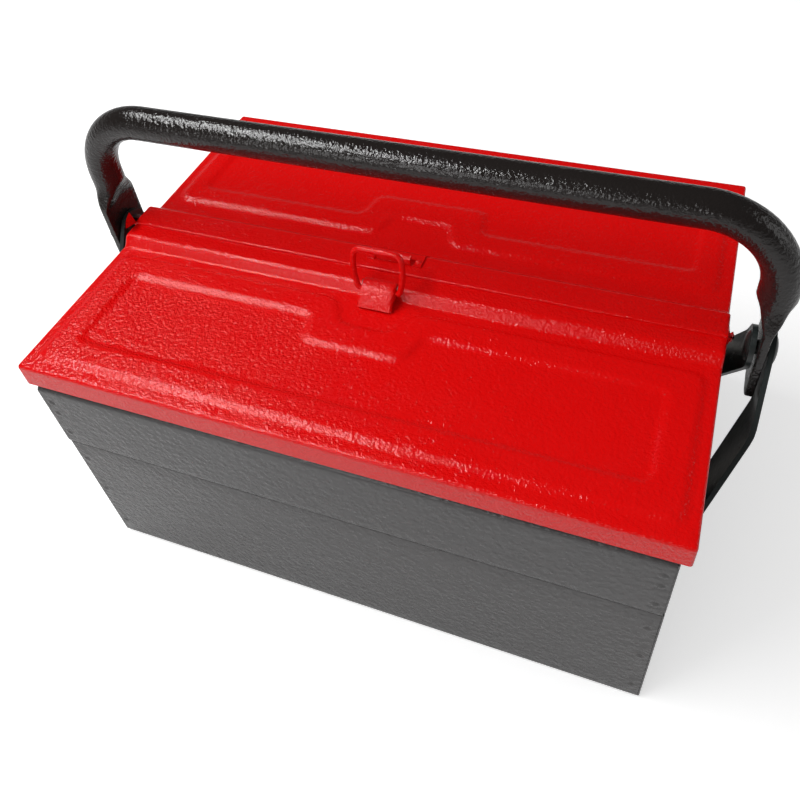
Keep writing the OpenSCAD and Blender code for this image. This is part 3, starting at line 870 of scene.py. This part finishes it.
def make_bail():
    """The wire bail of the latch, with bowed sides and its ends turned into the lever."""
    low = LEVER_W / 2 + 0.5 + WIRE_R
    high = low + 1.2
    half = [
        (LEVER_W / 2 - 1.2, 0.0), (low, 0.0), (high + 0.5, BAIL_L * 0.32), (high + 0.7, BAIL_L * 0.62),
        (high, BAIL_L), (0.0, BAIL_L),
    ]
    right = bent(half, [2.0, 14.0, 14.0, 4.4], 7)
    path = [Vector((-p.x, p.y)) for p in right] + list(reversed(right))[1:]
    rings = wire_path(filled(path, 3), WIRE_R)
    shape = Shape()
    lean = math.radians(BAIL_LEAN)
    turned_rings = []
    for i, ring in enumerate(rings):
        end = min(i, len(rings) - 1 - i)
        thin = 0.72 if end < 3 else 1.0
        mid = Vector([sum(c) / len(ring) for c in zip(*ring)])
        row = []
        for v in ring:
            x, y, z = mid + (Vector(v) - mid) * thin
            row.append((
                LATCH_X + x, BAIL_PIN[0] + y * math.cos(lean) + z * math.sin(lean),
                BAIL_PIN[1] - y * math.sin(lean) + z * math.cos(lean),
            ))
        turned_rings.append(row)
    shape.loft(turned_rings, 0.25)
    return shape


def make_lever():
    """The pressed latch lever, a curved tongue with turned-down cheeks."""
    path = bent(
        [(-18.9, 159.3), (-21.4, 160.0), (-25.5, 158.6), (-29.4, 155.2), (-31.9, 151.3)], [3.0, 6.0, 12.0], 6
    )
    path = filled(path, 0.8)
    sides = outward(path)
    total = len(path) - 1
    shares = (0.0, 0.16, 0.36, 0.6, 0.85, 1.0)
    depths = (0.7, 3.4, 4.6, 3.2, 1.2, 0.8)
    half = LEVER_W / 2
    round_r = 1.1
    rings = []
    for i, (p, n) in enumerate(zip(path, sides)):
        depth = float(np.interp(i / total, shares, depths))
        low = -depth - round_r
        section = filled(bent([(-half, low), (-half, 0.0), (half, 0.0), (half, low)], round_r, 5), 2.5)
        inward_n = -n if n.y < 0 else n
        rings.append([(LATCH_X + s.x, (p + inward_n * s.y).x, (p + inward_n * s.y).y) for s in section])
    shape = Shape()
    size = min(len(r) for r in rings)
    rings = [resampled(r, size) for r in rings]
    shape.grid(rings, [1.0 if j in (0, size - 1) or i in (0, total) else 0.2
                       for i in range(len(rings)) for j in range(size)])
    return shape


def resampled(ring, size):
    """A row of points brought to a given count by their share of its length."""
    points = np.array(ring)
    steps = np.r_[0, np.cumsum(np.linalg.norm(np.diff(points, axis=0), axis=1))]
    at = np.linspace(0, steps[-1], size)
    return [tuple(float(np.interp(a, steps, points[:, c])) for c in range(3)) for a in at]


def small_rivet(shape, at, r):
    """An upright rivet through a lid's sheet and a latch plate, with a domed head on top."""
    shank = 1.15
    profile = [(r, -1.7), (r, -SHEET), (shank, -SHEET), (shank, PLATE_T)]
    profile += [(p, PLATE_T + h) for p, h in reversed(dome(r, 0.9, 4))]
    shape.turned(profile, at, "Z", 20)


def make_latch(sizes):
    """The draw latch: base and rivets on the front lid, lever, wire bail and the keeper on the rear lid."""
    edge = sizes.plate_edge
    base = Shape()
    reach = EAR_X + PLATE_T
    base.block((LATCH_X - reach, -29.5, LID_TOP), (LATCH_X + reach, -23.5, LID_TOP + PLATE_T))
    ear = rounded_outline(
        [(-29.0, 150.5), (-23.4, 150.5), (-21.0, 155.4), (-18.7, 156.4), (-19.2, 158.4), (-21.6, 158.2),
         (-24.5, 156.6), (-29.0, 152.6)], 0.5, 2,
    )
    for side in (-1, 1):
        x0 = LATCH_X + side * EAR_X
        base.prism(ear, min(x0, x0 + side), max(x0, x0 + side))
    placed(
        [mesh_of(base, "base")], "pressed_latch_base", "front_lid", LID_PAINT, ["latch_base"], 35.0, edge * 0.6,
    )
    rivets = Shape()
    for x in (-3, 3):
        small_rivet(rivets, (LATCH_X + x, -26.5, LID_TOP), 1.9)
    placed(
        [mesh_of(rivets, "rivets")], "domed_latch_base_rivets", "front_lid", LID_PAINT, ["latch_base_rivets"],
    )

    lever = thickened(make_lever(), LEVER_T, "lever_sheet")
    placed([lever], "pressed_latch_lever", "latch_lever", LID_PAINT, ["latch_lever"], 45.0)
    placed([mesh_of(make_bail(), "bail")], "bent_wire_bail", "latch_bail", LID_PAINT, ["latch_bail"], 45.0)

    plate = Shape()
    foot_top = REAR_RIDGE + PLATE_T
    half = KEEPER_W / 2
    front_y, bar_y, back_y = -3.5, 0.5, 4.4
    for x0, x1, y0 in (
        (-half, -KEEPER_WINDOW, front_y), (KEEPER_WINDOW, half, front_y),
        (-KEEPER_WINDOW, KEEPER_WINDOW, bar_y),
    ):
        plate.block((LATCH_X + x0, y0, REAR_RIDGE), (LATCH_X + x1, back_y, foot_top))
    tail = [(back_y, foot_top), (back_y - 0.4, REAR_RIDGE), (8.7, 152.7), (9.4, 153.5)]
    plate.prism(tail, LATCH_X - half, LATCH_X + half)
    curl = bent([(-2.4, 156.9), (-3.2, 156.9), (-3.7, 160.6), (-1.3, 161.7)], [0.4, 1.6], 5)
    tongue = Shape()
    rows = [[(x, p.x, p.y) for p in curl] for x in spaced(LATCH_X - HOOK_W / 2, LATCH_X + HOOK_W / 2, 3)]
    tongue.grid(rows, 0.5)
    placed(
        [mesh_of(plate, "plate"), thickened(tongue, 0.8, "tongue")], "hooked_keeper", "rear_lid", LID_PAINT,
        ["keeper_plate"], 35.0, edge * 0.5,
    )
    rivets = Shape()
    for x in (-1, 1):
        small_rivet(rivets, (LATCH_X + x * (half - KEEPER_RIVET_IN), -0.8, REAR_RIDGE), 1.6)
    placed([mesh_of(rivets, "rivets")], "domed_keeper_rivets", "rear_lid", LID_PAINT, ["keeper_rivets"])


# Shader node groups and materials
def add_node(tree, kind, settings=None, values=None):
    """A node with its settings and the values of its unlinked inputs."""
    node = tree.nodes.new(kind)
    for key, value in (settings or {}).items():
        setattr(node, key, value)
    for key, value in (values or {}).items():
        node.inputs[key].default_value = value
    return node


def math_node(tree, operation, a, b, clamp=False):
    """A math node whose inputs are sockets or numbers."""
    node = add_node(tree, "ShaderNodeMath", {"operation": operation, "use_clamp": clamp})
    for i, value in enumerate((a, b)):
        if isinstance(value, (int, float)):
            node.inputs[i].default_value = value
        else:
            tree.links.new(value, node.inputs[i])
    return node.outputs[0]


def new_group(name, inputs, outputs):
    """An empty shader node group with named inputs and outputs, and its two end nodes."""
    tree = bpy.data.node_groups.new(name, "ShaderNodeTree")
    for label, kind, default in inputs:
        socket = tree.interface.new_socket(label, in_out="INPUT", socket_type=kind)
        socket.default_value = default
    for label, kind in outputs:
        tree.interface.new_socket(label, in_out="OUTPUT", socket_type=kind)
    return tree, tree.nodes.new("NodeGroupInput"), tree.nodes.new("NodeGroupOutput")


def make_grain_group():
    """Orange peel and wrinkles of sprayed or stoved enamel, as a height."""
    tree, given, out = new_group(
        "Enamel grain",
        [("Scale", "NodeSocketFloat", 700.0), ("Wrinkle", "NodeSocketFloat", 0.5),
         ("Patches", "NodeSocketFloat", 0.5)],
        [("Height", "NodeSocketFloat")],
    )
    where = add_node(tree, "ShaderNodeTexCoord").outputs["Object"]
    peel = add_node(tree, "ShaderNodeTexNoise", values={"Detail": 2.0, "Roughness": 0.45})
    tree.links.new(where, peel.inputs["Vector"])
    tree.links.new(given.outputs["Scale"], peel.inputs["Scale"])
    cells = add_node(tree, "ShaderNodeTexVoronoi", {"feature": "SMOOTH_F1"}, {"Smoothness": 0.6})
    tree.links.new(where, cells.inputs["Vector"])
    tree.links.new(math_node(tree, "MULTIPLY", given.outputs["Scale"], 0.55), cells.inputs["Scale"])
    patch = add_node(tree, "ShaderNodeTexNoise", values={"Scale": 22.0, "Detail": 2.0})
    tree.links.new(where, patch.inputs["Vector"])
    amount = math_node(tree, "MULTIPLY", patch.outputs["Fac"], given.outputs["Patches"])
    amount = math_node(tree, "SUBTRACT", 1.0, amount)
    wrinkle = math_node(tree, "MULTIPLY", cells.outputs["Distance"], given.outputs["Wrinkle"])
    both = math_node(tree, "ADD", peel.outputs["Fac"], wrinkle)
    tree.links.new(math_node(tree, "MULTIPLY", both, amount), out.inputs["Height"])
    return tree


def make_wear_group():
    """Where the paint is chipped to bare metal, from the pieces' own edge wear."""
    tree, given, out = new_group(
        "Worn edges",
        [("Amount", "NodeSocketFloat", 0.3), ("Scale", "NodeSocketFloat", 160.0)],
        [("Chips", "NodeSocketFloat")],
    )
    where = add_node(tree, "ShaderNodeTexCoord").outputs["Object"]
    edge = add_node(tree, "ShaderNodeAttribute", {"attribute_name": "wear"}).outputs["Fac"]
    broad = add_node(tree, "ShaderNodeTexNoise", values={"Scale": 14.0, "Detail": 3.0})
    fine = add_node(tree, "ShaderNodeTexNoise", values={"Detail": 5.0, "Roughness": 0.7})
    for noise in (broad, fine):
        tree.links.new(where, noise.inputs["Vector"])
    tree.links.new(given.outputs["Scale"], fine.inputs["Scale"])
    mixed = math_node(tree, "ADD", math_node(tree, "MULTIPLY", broad.outputs["Fac"], 0.62),
                      math_node(tree, "MULTIPLY", fine.outputs["Fac"], 0.38))
    level = math_node(tree, "SUBTRACT", 0.78, math_node(tree, "MULTIPLY", given.outputs["Amount"], 0.3))
    mask = math_node(tree, "MULTIPLY", math_node(tree, "SUBTRACT", mixed, level), 40.0, True)
    close = math_node(tree, "MULTIPLY", math_node(tree, "SUBTRACT", edge, 0.55), 6.0, True)
    tree.links.new(math_node(tree, "MULTIPLY", mask, close), out.inputs["Chips"])
    return tree


def make_tone_group():
    """Uneven colour and gloss of a used surface, with a second tint mixed in random patches; on the body and
    the handle that tint is a painted reflection.
    """
    tree, given, out = new_group(
        "Used surface and painted reflection",
        [("Color", "NodeSocketColor", (0.5, 0.5, 0.5, 1)), ("Patch and reflection tint", "NodeSocketColor", (0.3, 0.3, 0.3, 1)),
         ("Unevenness", "NodeSocketFloat", 0.3), ("Roughness", "NodeSocketFloat", 0.3)],
        [("Color", "NodeSocketColor"), ("Roughness", "NodeSocketFloat")],
    )
    where = add_node(tree, "ShaderNodeTexCoord").outputs["Object"]
    broad = add_node(tree, "ShaderNodeTexNoise", values={"Scale": 9.0, "Detail": 4.0, "Distortion": 0.4})
    smear = add_node(tree, "ShaderNodeTexNoise", values={"Scale": 55.0, "Detail": 6.0, "Roughness": 0.65})
    for noise in (broad, smear):
        tree.links.new(where, noise.inputs["Vector"])
    # The second tint, mixed in by broad random noise, is a painted reflection on the body and the handle, and
    # plain uneven tone elsewhere.
    share = math_node(tree, "MULTIPLY", broad.outputs["Fac"], given.outputs["Unevenness"], True)
    mix = add_node(tree, "ShaderNodeMix", {"data_type": "RGBA"})
    tree.links.new(share, mix.inputs["Factor"])
    tree.links.new(given.outputs["Color"], mix.inputs["A"])
    tree.links.new(given.outputs["Patch and reflection tint"], mix.inputs["B"])
    tree.links.new(mix.outputs["Result"], out.inputs["Color"])
    spread = math_node(tree, "MULTIPLY", math_node(tree, "SUBTRACT", smear.outputs["Fac"], 0.5), 0.2)
    tree.links.new(math_node(tree, "ADD", given.outputs["Roughness"], spread, True), out.inputs["Roughness"])
    return tree


def place_group(tree, group, values):
    """A node group in a material, with its own values."""
    node = add_node(tree, "ShaderNodeGroup", {"node_tree": group})
    for key, value in values.items():
        node.inputs[key].default_value = value
    return node


BARE_METAL = (0.42, 0.37, 0.33, 1)
PAINT_UNEVEN = 0.55
PAINT_GRAIN_DEPTH = 0.0006
COAT_ROUGHNESS = 0.08
STEEL_UNEVEN = 0.9
STEEL_ROUGHNESS = 0.38
STEEL_SHADE = 0.45
STEEL_GRAIN_DEPTH = 0.0004


def new_material(slot):
    """A material for one of the record's slots, with its node tree and its shader."""
    material = bpy.data.materials.new(slot + MADE)
    material.use_nodes = True
    return material.node_tree, material.node_tree.nodes["Principled BSDF"]


def painted(slot, groups, colour, patch_and_reflection_tint, grain, chips, shine):
    """A sprayed finish over steel. The second tint is a darker or lighter tone, each channel a share of the
    colour, mixed in random patches; on the body and the handle it is a painted reflection.

    Grain holds scale, wrinkle, patches and bump, chips holds amount and scale, and shine holds roughness,
    specular level and coat.
    """
    tree, surface = new_material(slot)
    tone = place_group(tree, groups["tone"], {
        "Color": colour, "Patch and reflection tint": [c * share for c, share in zip(colour, patch_and_reflection_tint)] + [1.0],
        "Unevenness": PAINT_UNEVEN, "Roughness": shine[0],
    })
    wear = place_group(tree, groups["wear"], {"Amount": chips[0], "Scale": chips[1]}).outputs["Chips"]
    relief = place_group(tree, groups["grain"], {"Scale": grain[0], "Wrinkle": grain[1], "Patches": grain[2]})
    mix = add_node(tree, "ShaderNodeMix", {"data_type": "RGBA"}, {"B": BARE_METAL})
    tree.links.new(wear, mix.inputs["Factor"])
    tree.links.new(tone.outputs["Color"], mix.inputs["A"])
    tree.links.new(mix.outputs["Result"], surface.inputs["Base Color"])
    rough = math_node(tree, "ADD", tone.outputs["Roughness"], math_node(tree, "MULTIPLY", wear, 0.2), True)
    tree.links.new(rough, surface.inputs["Roughness"])
    tree.links.new(math_node(tree, "MULTIPLY", wear, 0.7), surface.inputs["Metallic"])
    bump = add_node(tree, "ShaderNodeBump", values={"Strength": grain[3], "Distance": PAINT_GRAIN_DEPTH})
    height = math_node(tree, "SUBTRACT", relief.outputs["Height"], math_node(tree, "MULTIPLY", wear, 0.5))
    tree.links.new(height, bump.inputs["Height"])
    tree.links.new(bump.outputs["Normal"], surface.inputs["Normal"])
    surface.inputs["Specular IOR Level"].default_value = shine[1]
    surface.inputs["Coat Weight"].default_value = shine[2]
    surface.inputs["Coat Roughness"].default_value = COAT_ROUGHNESS


def plated(slot, groups, colour):
    """Dull plated steel with fine scratches and grime in its tone."""
    tree, surface = new_material(slot)
    tone = place_group(tree, groups["tone"], {
        "Color": colour, "Patch and reflection tint": [c * STEEL_SHADE for c in colour[:3]] + [1.0],
        "Unevenness": STEEL_UNEVEN, "Roughness": STEEL_ROUGHNESS,
    })
    relief = place_group(tree, groups["grain"], {"Scale": 1400.0, "Wrinkle": 0.1, "Patches": 0.3})
    bump = add_node(tree, "ShaderNodeBump", values={"Strength": 0.12, "Distance": STEEL_GRAIN_DEPTH})
    tree.links.new(tone.outputs["Color"], surface.inputs["Base Color"])
    tree.links.new(tone.outputs["Roughness"], surface.inputs["Roughness"])
    tree.links.new(relief.outputs["Height"], bump.inputs["Height"])
    tree.links.new(bump.outputs["Normal"], surface.inputs["Normal"])
    surface.inputs["Metallic"].default_value = 1.0


def make_finishes(finish):
    """All node groups and materials."""
    groups = {"grain": make_grain_group(), "wear": make_wear_group(), "tone": make_tone_group()}
    chips = finish.chips
    painted(
        LID_PAINT, groups, tuple(finish.lid_red), patch_and_reflection_tint=(0.86, 1, 1),
        grain=(750.0, 0.3, 0.5, 1.0), chips=(chips, 170.0), shine=(0.12, 0.35, 0.0),
    )
    # The body's warm, darker tint is uneven enamel and also a painted reflection of warm surroundings on the
    # walls.
    painted(
        BODY_PAINT, groups, tuple(finish.body_grey), patch_and_reflection_tint=(0.75, 0.68, 0.64),
        grain=(560.0, 1.0, 0.6, 0.65), chips=(chips * 0.55, 200.0), shine=(0.26, 0.45, 0.0),
    )
    # The handle's lighter brownish tint, mixed in random patches, is a painted reflection on the black coating.
    painted(
        HANDLE_PAINT, groups, tuple(finish.tube_black), patch_and_reflection_tint=(2.2, 1.7, 1.4),
        grain=(800.0, 0.5, 0.3, 0.6), chips=(chips * 0.5, 220.0), shine=(0.14, 0.5, 0.0),
    )
    painted(
        STRAP_PAINT, groups, tuple(finish.strap_black), patch_and_reflection_tint=(1.4, 1.3, 1.2),
        grain=(500.0, 0.4, 0.3, 0.2), chips=(chips * 1.1, 240.0), shine=(0.3, 0.5, 0.1),
    )
    plated(STEEL, groups, tuple(finish.steel))


# Stage, lights and camera
CAMERA_PLACE = (0.12816, -0.27307, 0.42408)
CAMERA_TURN = (45.153, 4.558, 20.198)
CAMERA_LENS = 36.31
CAMERA_SHIFT = (-0.0159, -0.1213)
FLOOR_HALF = 6.0
FLOOR_DROP = 0.0003
FLOOR_WHITE = 0.86
FLOOR_GLOW = 0.5
FLOOR_GLOSSY_SHARE = 0.12
CEILING = {"From Min": 0.02, "From Max": 0.35, "To Min": 0.3, "To Max": 0.02}
SKY_FILL = 0.3
LAMP_AIM = (0.0, 0.0, 0.12)
LAMPS = (
    ("overhead_left", (-0.58, -0.22, 1.1), (1.1, 0.12), 10.0),
    ("front_fill", (-0.5, -1.5, 0.8), (0.8, 0.5), 4.0),
    ("right_fill", (1.4, 0.2, 0.7), (0.8, 0.8), 2.0),
)


def make_floor():
    """A wide pale floor that keeps the object's soft shadow."""
    mesh = bpy.data.meshes.new("floor")
    bm = bmesh.new()
    bmesh.ops.create_grid(bm, x_segments=8, y_segments=8, size=FLOOR_HALF)
    bm.to_mesh(mesh)
    bm.free()
    floor = bpy.data.objects.new("floor", mesh)
    floor.location.z = -FLOOR_DROP
    bpy.context.scene.collection.objects.link(floor)
    material = bpy.data.materials.new("pale_floor")
    material.use_nodes = True
    tree = material.node_tree
    surface = tree.nodes["Principled BSDF"]
    surface.inputs["Base Color"].default_value = (FLOOR_WHITE, FLOOR_WHITE, FLOOR_WHITE, 1)
    surface.inputs["Roughness"].default_value = 0.9
    surface.inputs["Specular IOR Level"].default_value = 0.1
    path = add_node(tree, "ShaderNodeLightPath")
    seen = math_node(tree, "ADD", path.outputs["Is Camera Ray"],
                     math_node(tree, "MULTIPLY", path.outputs["Is Glossy Ray"], FLOOR_GLOSSY_SHARE), True)
    glow = add_node(tree, "ShaderNodeEmission", values={"Color": (1, 1, 1, 1)})
    tree.links.new(math_node(tree, "MULTIPLY", seen, FLOOR_GLOW), glow.inputs["Strength"])
    both = tree.nodes.new("ShaderNodeAddShader")
    tree.links.new(surface.outputs["BSDF"], both.inputs[0])
    tree.links.new(glow.outputs["Emission"], both.inputs[1])
    tree.links.new(both.outputs["Shader"], tree.nodes["Material Output"].inputs["Surface"])
    mesh.materials.append(material)


def make_world():
    """White to the camera, and a pale horizon under a dim ceiling for what is mirrored."""
    world = bpy.data.worlds.new("studio")
    bpy.context.scene.world = world
    world.use_nodes = True
    tree = world.node_tree
    background = tree.nodes["Background"]
    path = add_node(tree, "ShaderNodeLightPath")
    where = add_node(tree, "ShaderNodeTexCoord")
    split = add_node(tree, "ShaderNodeSeparateXYZ")
    tree.links.new(where.outputs["Generated"], split.inputs["Vector"])
    ramp = add_node(tree, "ShaderNodeMapRange", {"interpolation_type": "SMOOTHSTEP"}, CEILING)
    tree.links.new(split.outputs["Z"], ramp.inputs["Value"])
    glossy = math_node(tree, "MULTIPLY", path.outputs["Is Glossy Ray"], ramp.outputs["Result"])
    shown = math_node(tree, "MAXIMUM", path.outputs["Is Camera Ray"], path.outputs["Is Transmission Ray"])
    diffuse = math_node(tree, "MULTIPLY", path.outputs["Is Diffuse Ray"], SKY_FILL)
    total = math_node(tree, "ADD", math_node(tree, "ADD", glossy, shown), diffuse)
    background.inputs["Color"].default_value = (1, 1, 1, 1)
    tree.links.new(total, background.inputs["Strength"])


def softbox(name, place, size, power):
    """A rectangular white lamp that looks at the object."""
    light = bpy.data.lights.new(name, "AREA")
    light.shape = "RECTANGLE"
    light.size, light.size_y = size
    light.energy = power
    lamp = bpy.data.objects.new(name, light)
    lamp.location = place
    lamp.rotation_euler = (Vector(LAMP_AIM) - Vector(place)).to_track_quat("-Z", "Y").to_euler()
    bpy.context.scene.collection.objects.link(lamp)


def make_camera():
    """The photograph's viewpoint, with the shift that its framing needs."""
    data = bpy.data.cameras.new("view")
    data.lens = CAMERA_LENS
    data.sensor_width = 36.0
    data.shift_x, data.shift_y = CAMERA_SHIFT
    data.clip_start, data.clip_end = 0.01, 50.0
    camera = bpy.data.objects.new("view", data)
    camera.location = CAMERA_PLACE
    camera.rotation_euler = [math.radians(a) for a in CAMERA_TURN]
    bpy.context.scene.collection.objects.link(camera)
    bpy.context.scene.camera = camera


def make_stage():
    """Floor, world, lamps, camera and the colour transform."""
    bpy.context.scene.view_settings.view_transform = "Standard"
    make_floor()
    make_world()
    for lamp in LAMPS:
        softbox(*lamp)
    make_camera()


# Operators, one for each piece or group of like pieces
class BuildOperator:
    """What all the operators of this add-on share."""

    bl_options = {"REGISTER", "UNDO"}


class TOOLBOX_OT_finishes(BuildOperator, bpy.types.Operator):
    """Make the paints and the steel"""

    bl_idname = "toolbox.finishes"
    bl_label = "Finishes"

    def execute(self, context):
        make_finishes(context.scene.toolbox_finish)
        return {"FINISHED"}


class TOOLBOX_OT_lids(BuildOperator, bpy.types.Operator):
    """Stamp the two lids"""

    bl_idname = "toolbox.lids"
    bl_label = "Lids"

    def execute(self, context):
        make_lids(context.scene.toolbox_sizes)
        return {"FINISHED"}


class TOOLBOX_OT_bottom_box(BuildOperator, bpy.types.Operator):
    """Fold the bottom box and weld its ends"""

    bl_idname = "toolbox.bottom_box"
    bl_label = "Bottom box"

    def execute(self, context):
        make_box(context.scene.toolbox_sizes)
        return {"FINISHED"}


class TOOLBOX_OT_trays(BuildOperator, bpy.types.Operator):
    """Fold the two trays and weld their ends"""

    bl_idname = "toolbox.trays"
    bl_label = "Trays"

    def execute(self, context):
        make_trays(context.scene.toolbox_sizes)
        return {"FINISHED"}


class TOOLBOX_OT_links(BuildOperator, bpy.types.Operator):
    """Make the tray links and their rivets"""

    bl_idname = "toolbox.links"
    bl_label = "Links and rivets"

    def execute(self, context):
        make_links(context.scene.toolbox_sizes)
        return {"FINISHED"}


class TOOLBOX_OT_straps(BuildOperator, bpy.types.Operator):
    """Fold the side straps"""

    bl_idname = "toolbox.straps"
    bl_label = "Side straps"

    def execute(self, context):
        make_straps(context.scene.toolbox_sizes)
        return {"FINISHED"}


class TOOLBOX_OT_handle(BuildOperator, bpy.types.Operator):
    """Bend the handle tube and crush its ends"""

    bl_idname = "toolbox.handle"
    bl_label = "Handle"

    def execute(self, context):
        make_handle()
        return {"FINISHED"}


class TOOLBOX_OT_latch(BuildOperator, bpy.types.Operator):
    """Make the latch and its keeper"""

    bl_idname = "toolbox.latch"
    bl_label = "Latch"

    def execute(self, context):
        make_latch(context.scene.toolbox_sizes)
        return {"FINISHED"}


class TOOLBOX_OT_pins(BuildOperator, bpy.types.Operator):
    """Finish the hinge rods and the latch pin, which keep their frame shape"""

    bl_idname = "toolbox.pins"
    bl_label = "Hinge rods and pin"

    def execute(self, context):
        for node in ("front_hinge_rod", "rear_hinge_rod", "latch_pin"):
            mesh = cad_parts[node].data
            mesh.materials.clear()
            mesh.materials.append(finish_of(STEEL))
        return {"FINISHED"}


class TOOLBOX_OT_stage(BuildOperator, bpy.types.Operator):
    """Set up the floor, the lights and the camera"""

    bl_idname = "toolbox.stage"
    bl_label = "Stage"

    def execute(self, context):
        make_stage()
        return {"FINISHED"}


OPERATORS = (
    TOOLBOX_OT_stage, TOOLBOX_OT_finishes, TOOLBOX_OT_lids, TOOLBOX_OT_bottom_box, TOOLBOX_OT_trays,
    TOOLBOX_OT_links, TOOLBOX_OT_straps, TOOLBOX_OT_handle, TOOLBOX_OT_latch, TOOLBOX_OT_pins,
)


class TOOLBOX_PT_panel(bpy.types.Panel):
    """Lists the build steps, the sizes and the colours"""

    bl_idname = "TOOLBOX_PT_panel"
    bl_label = "Tool box"
    bl_space_type = "VIEW_3D"
    bl_region_type = "UI"
    bl_category = "Tool box"

    def draw(self, context):
        layout = self.layout
        for operator in OPERATORS:
            layout.operator(operator.bl_idname)
        for group in (context.scene.toolbox_sizes, context.scene.toolbox_finish):
            box = layout.box()
            for name in group.__annotations__:
                box.prop(group, name)


CLASSES = (ToolboxSizes, ToolboxFinish) + OPERATORS + (TOOLBOX_PT_panel,)


def register():
    """Make the groups, the operators and the panel known to Blender."""
    for cls in CLASSES:
        bpy.utils.register_class(cls)
    bpy.types.Scene.toolbox_sizes = PointerProperty(type=ToolboxSizes)
    bpy.types.Scene.toolbox_finish = PointerProperty(type=ToolboxFinish)


def unregister():
    """Take them away again."""
    del bpy.types.Scene.toolbox_finish
    del bpy.types.Scene.toolbox_sizes
    for cls in reversed(CLASSES):
        bpy.utils.unregister_class(cls)


def main():
    """Build everything in order."""
    register()
    bpy.ops.toolbox.stage()
    bpy.ops.toolbox.finishes()
    bpy.ops.toolbox.lids()
    bpy.ops.toolbox.bottom_box()
    bpy.ops.toolbox.trays()
    bpy.ops.toolbox.links()
    bpy.ops.toolbox.straps()
    bpy.ops.toolbox.handle()
    bpy.ops.toolbox.latch()
    bpy.ops.toolbox.pins()


if __name__ == "__main__":
    main()
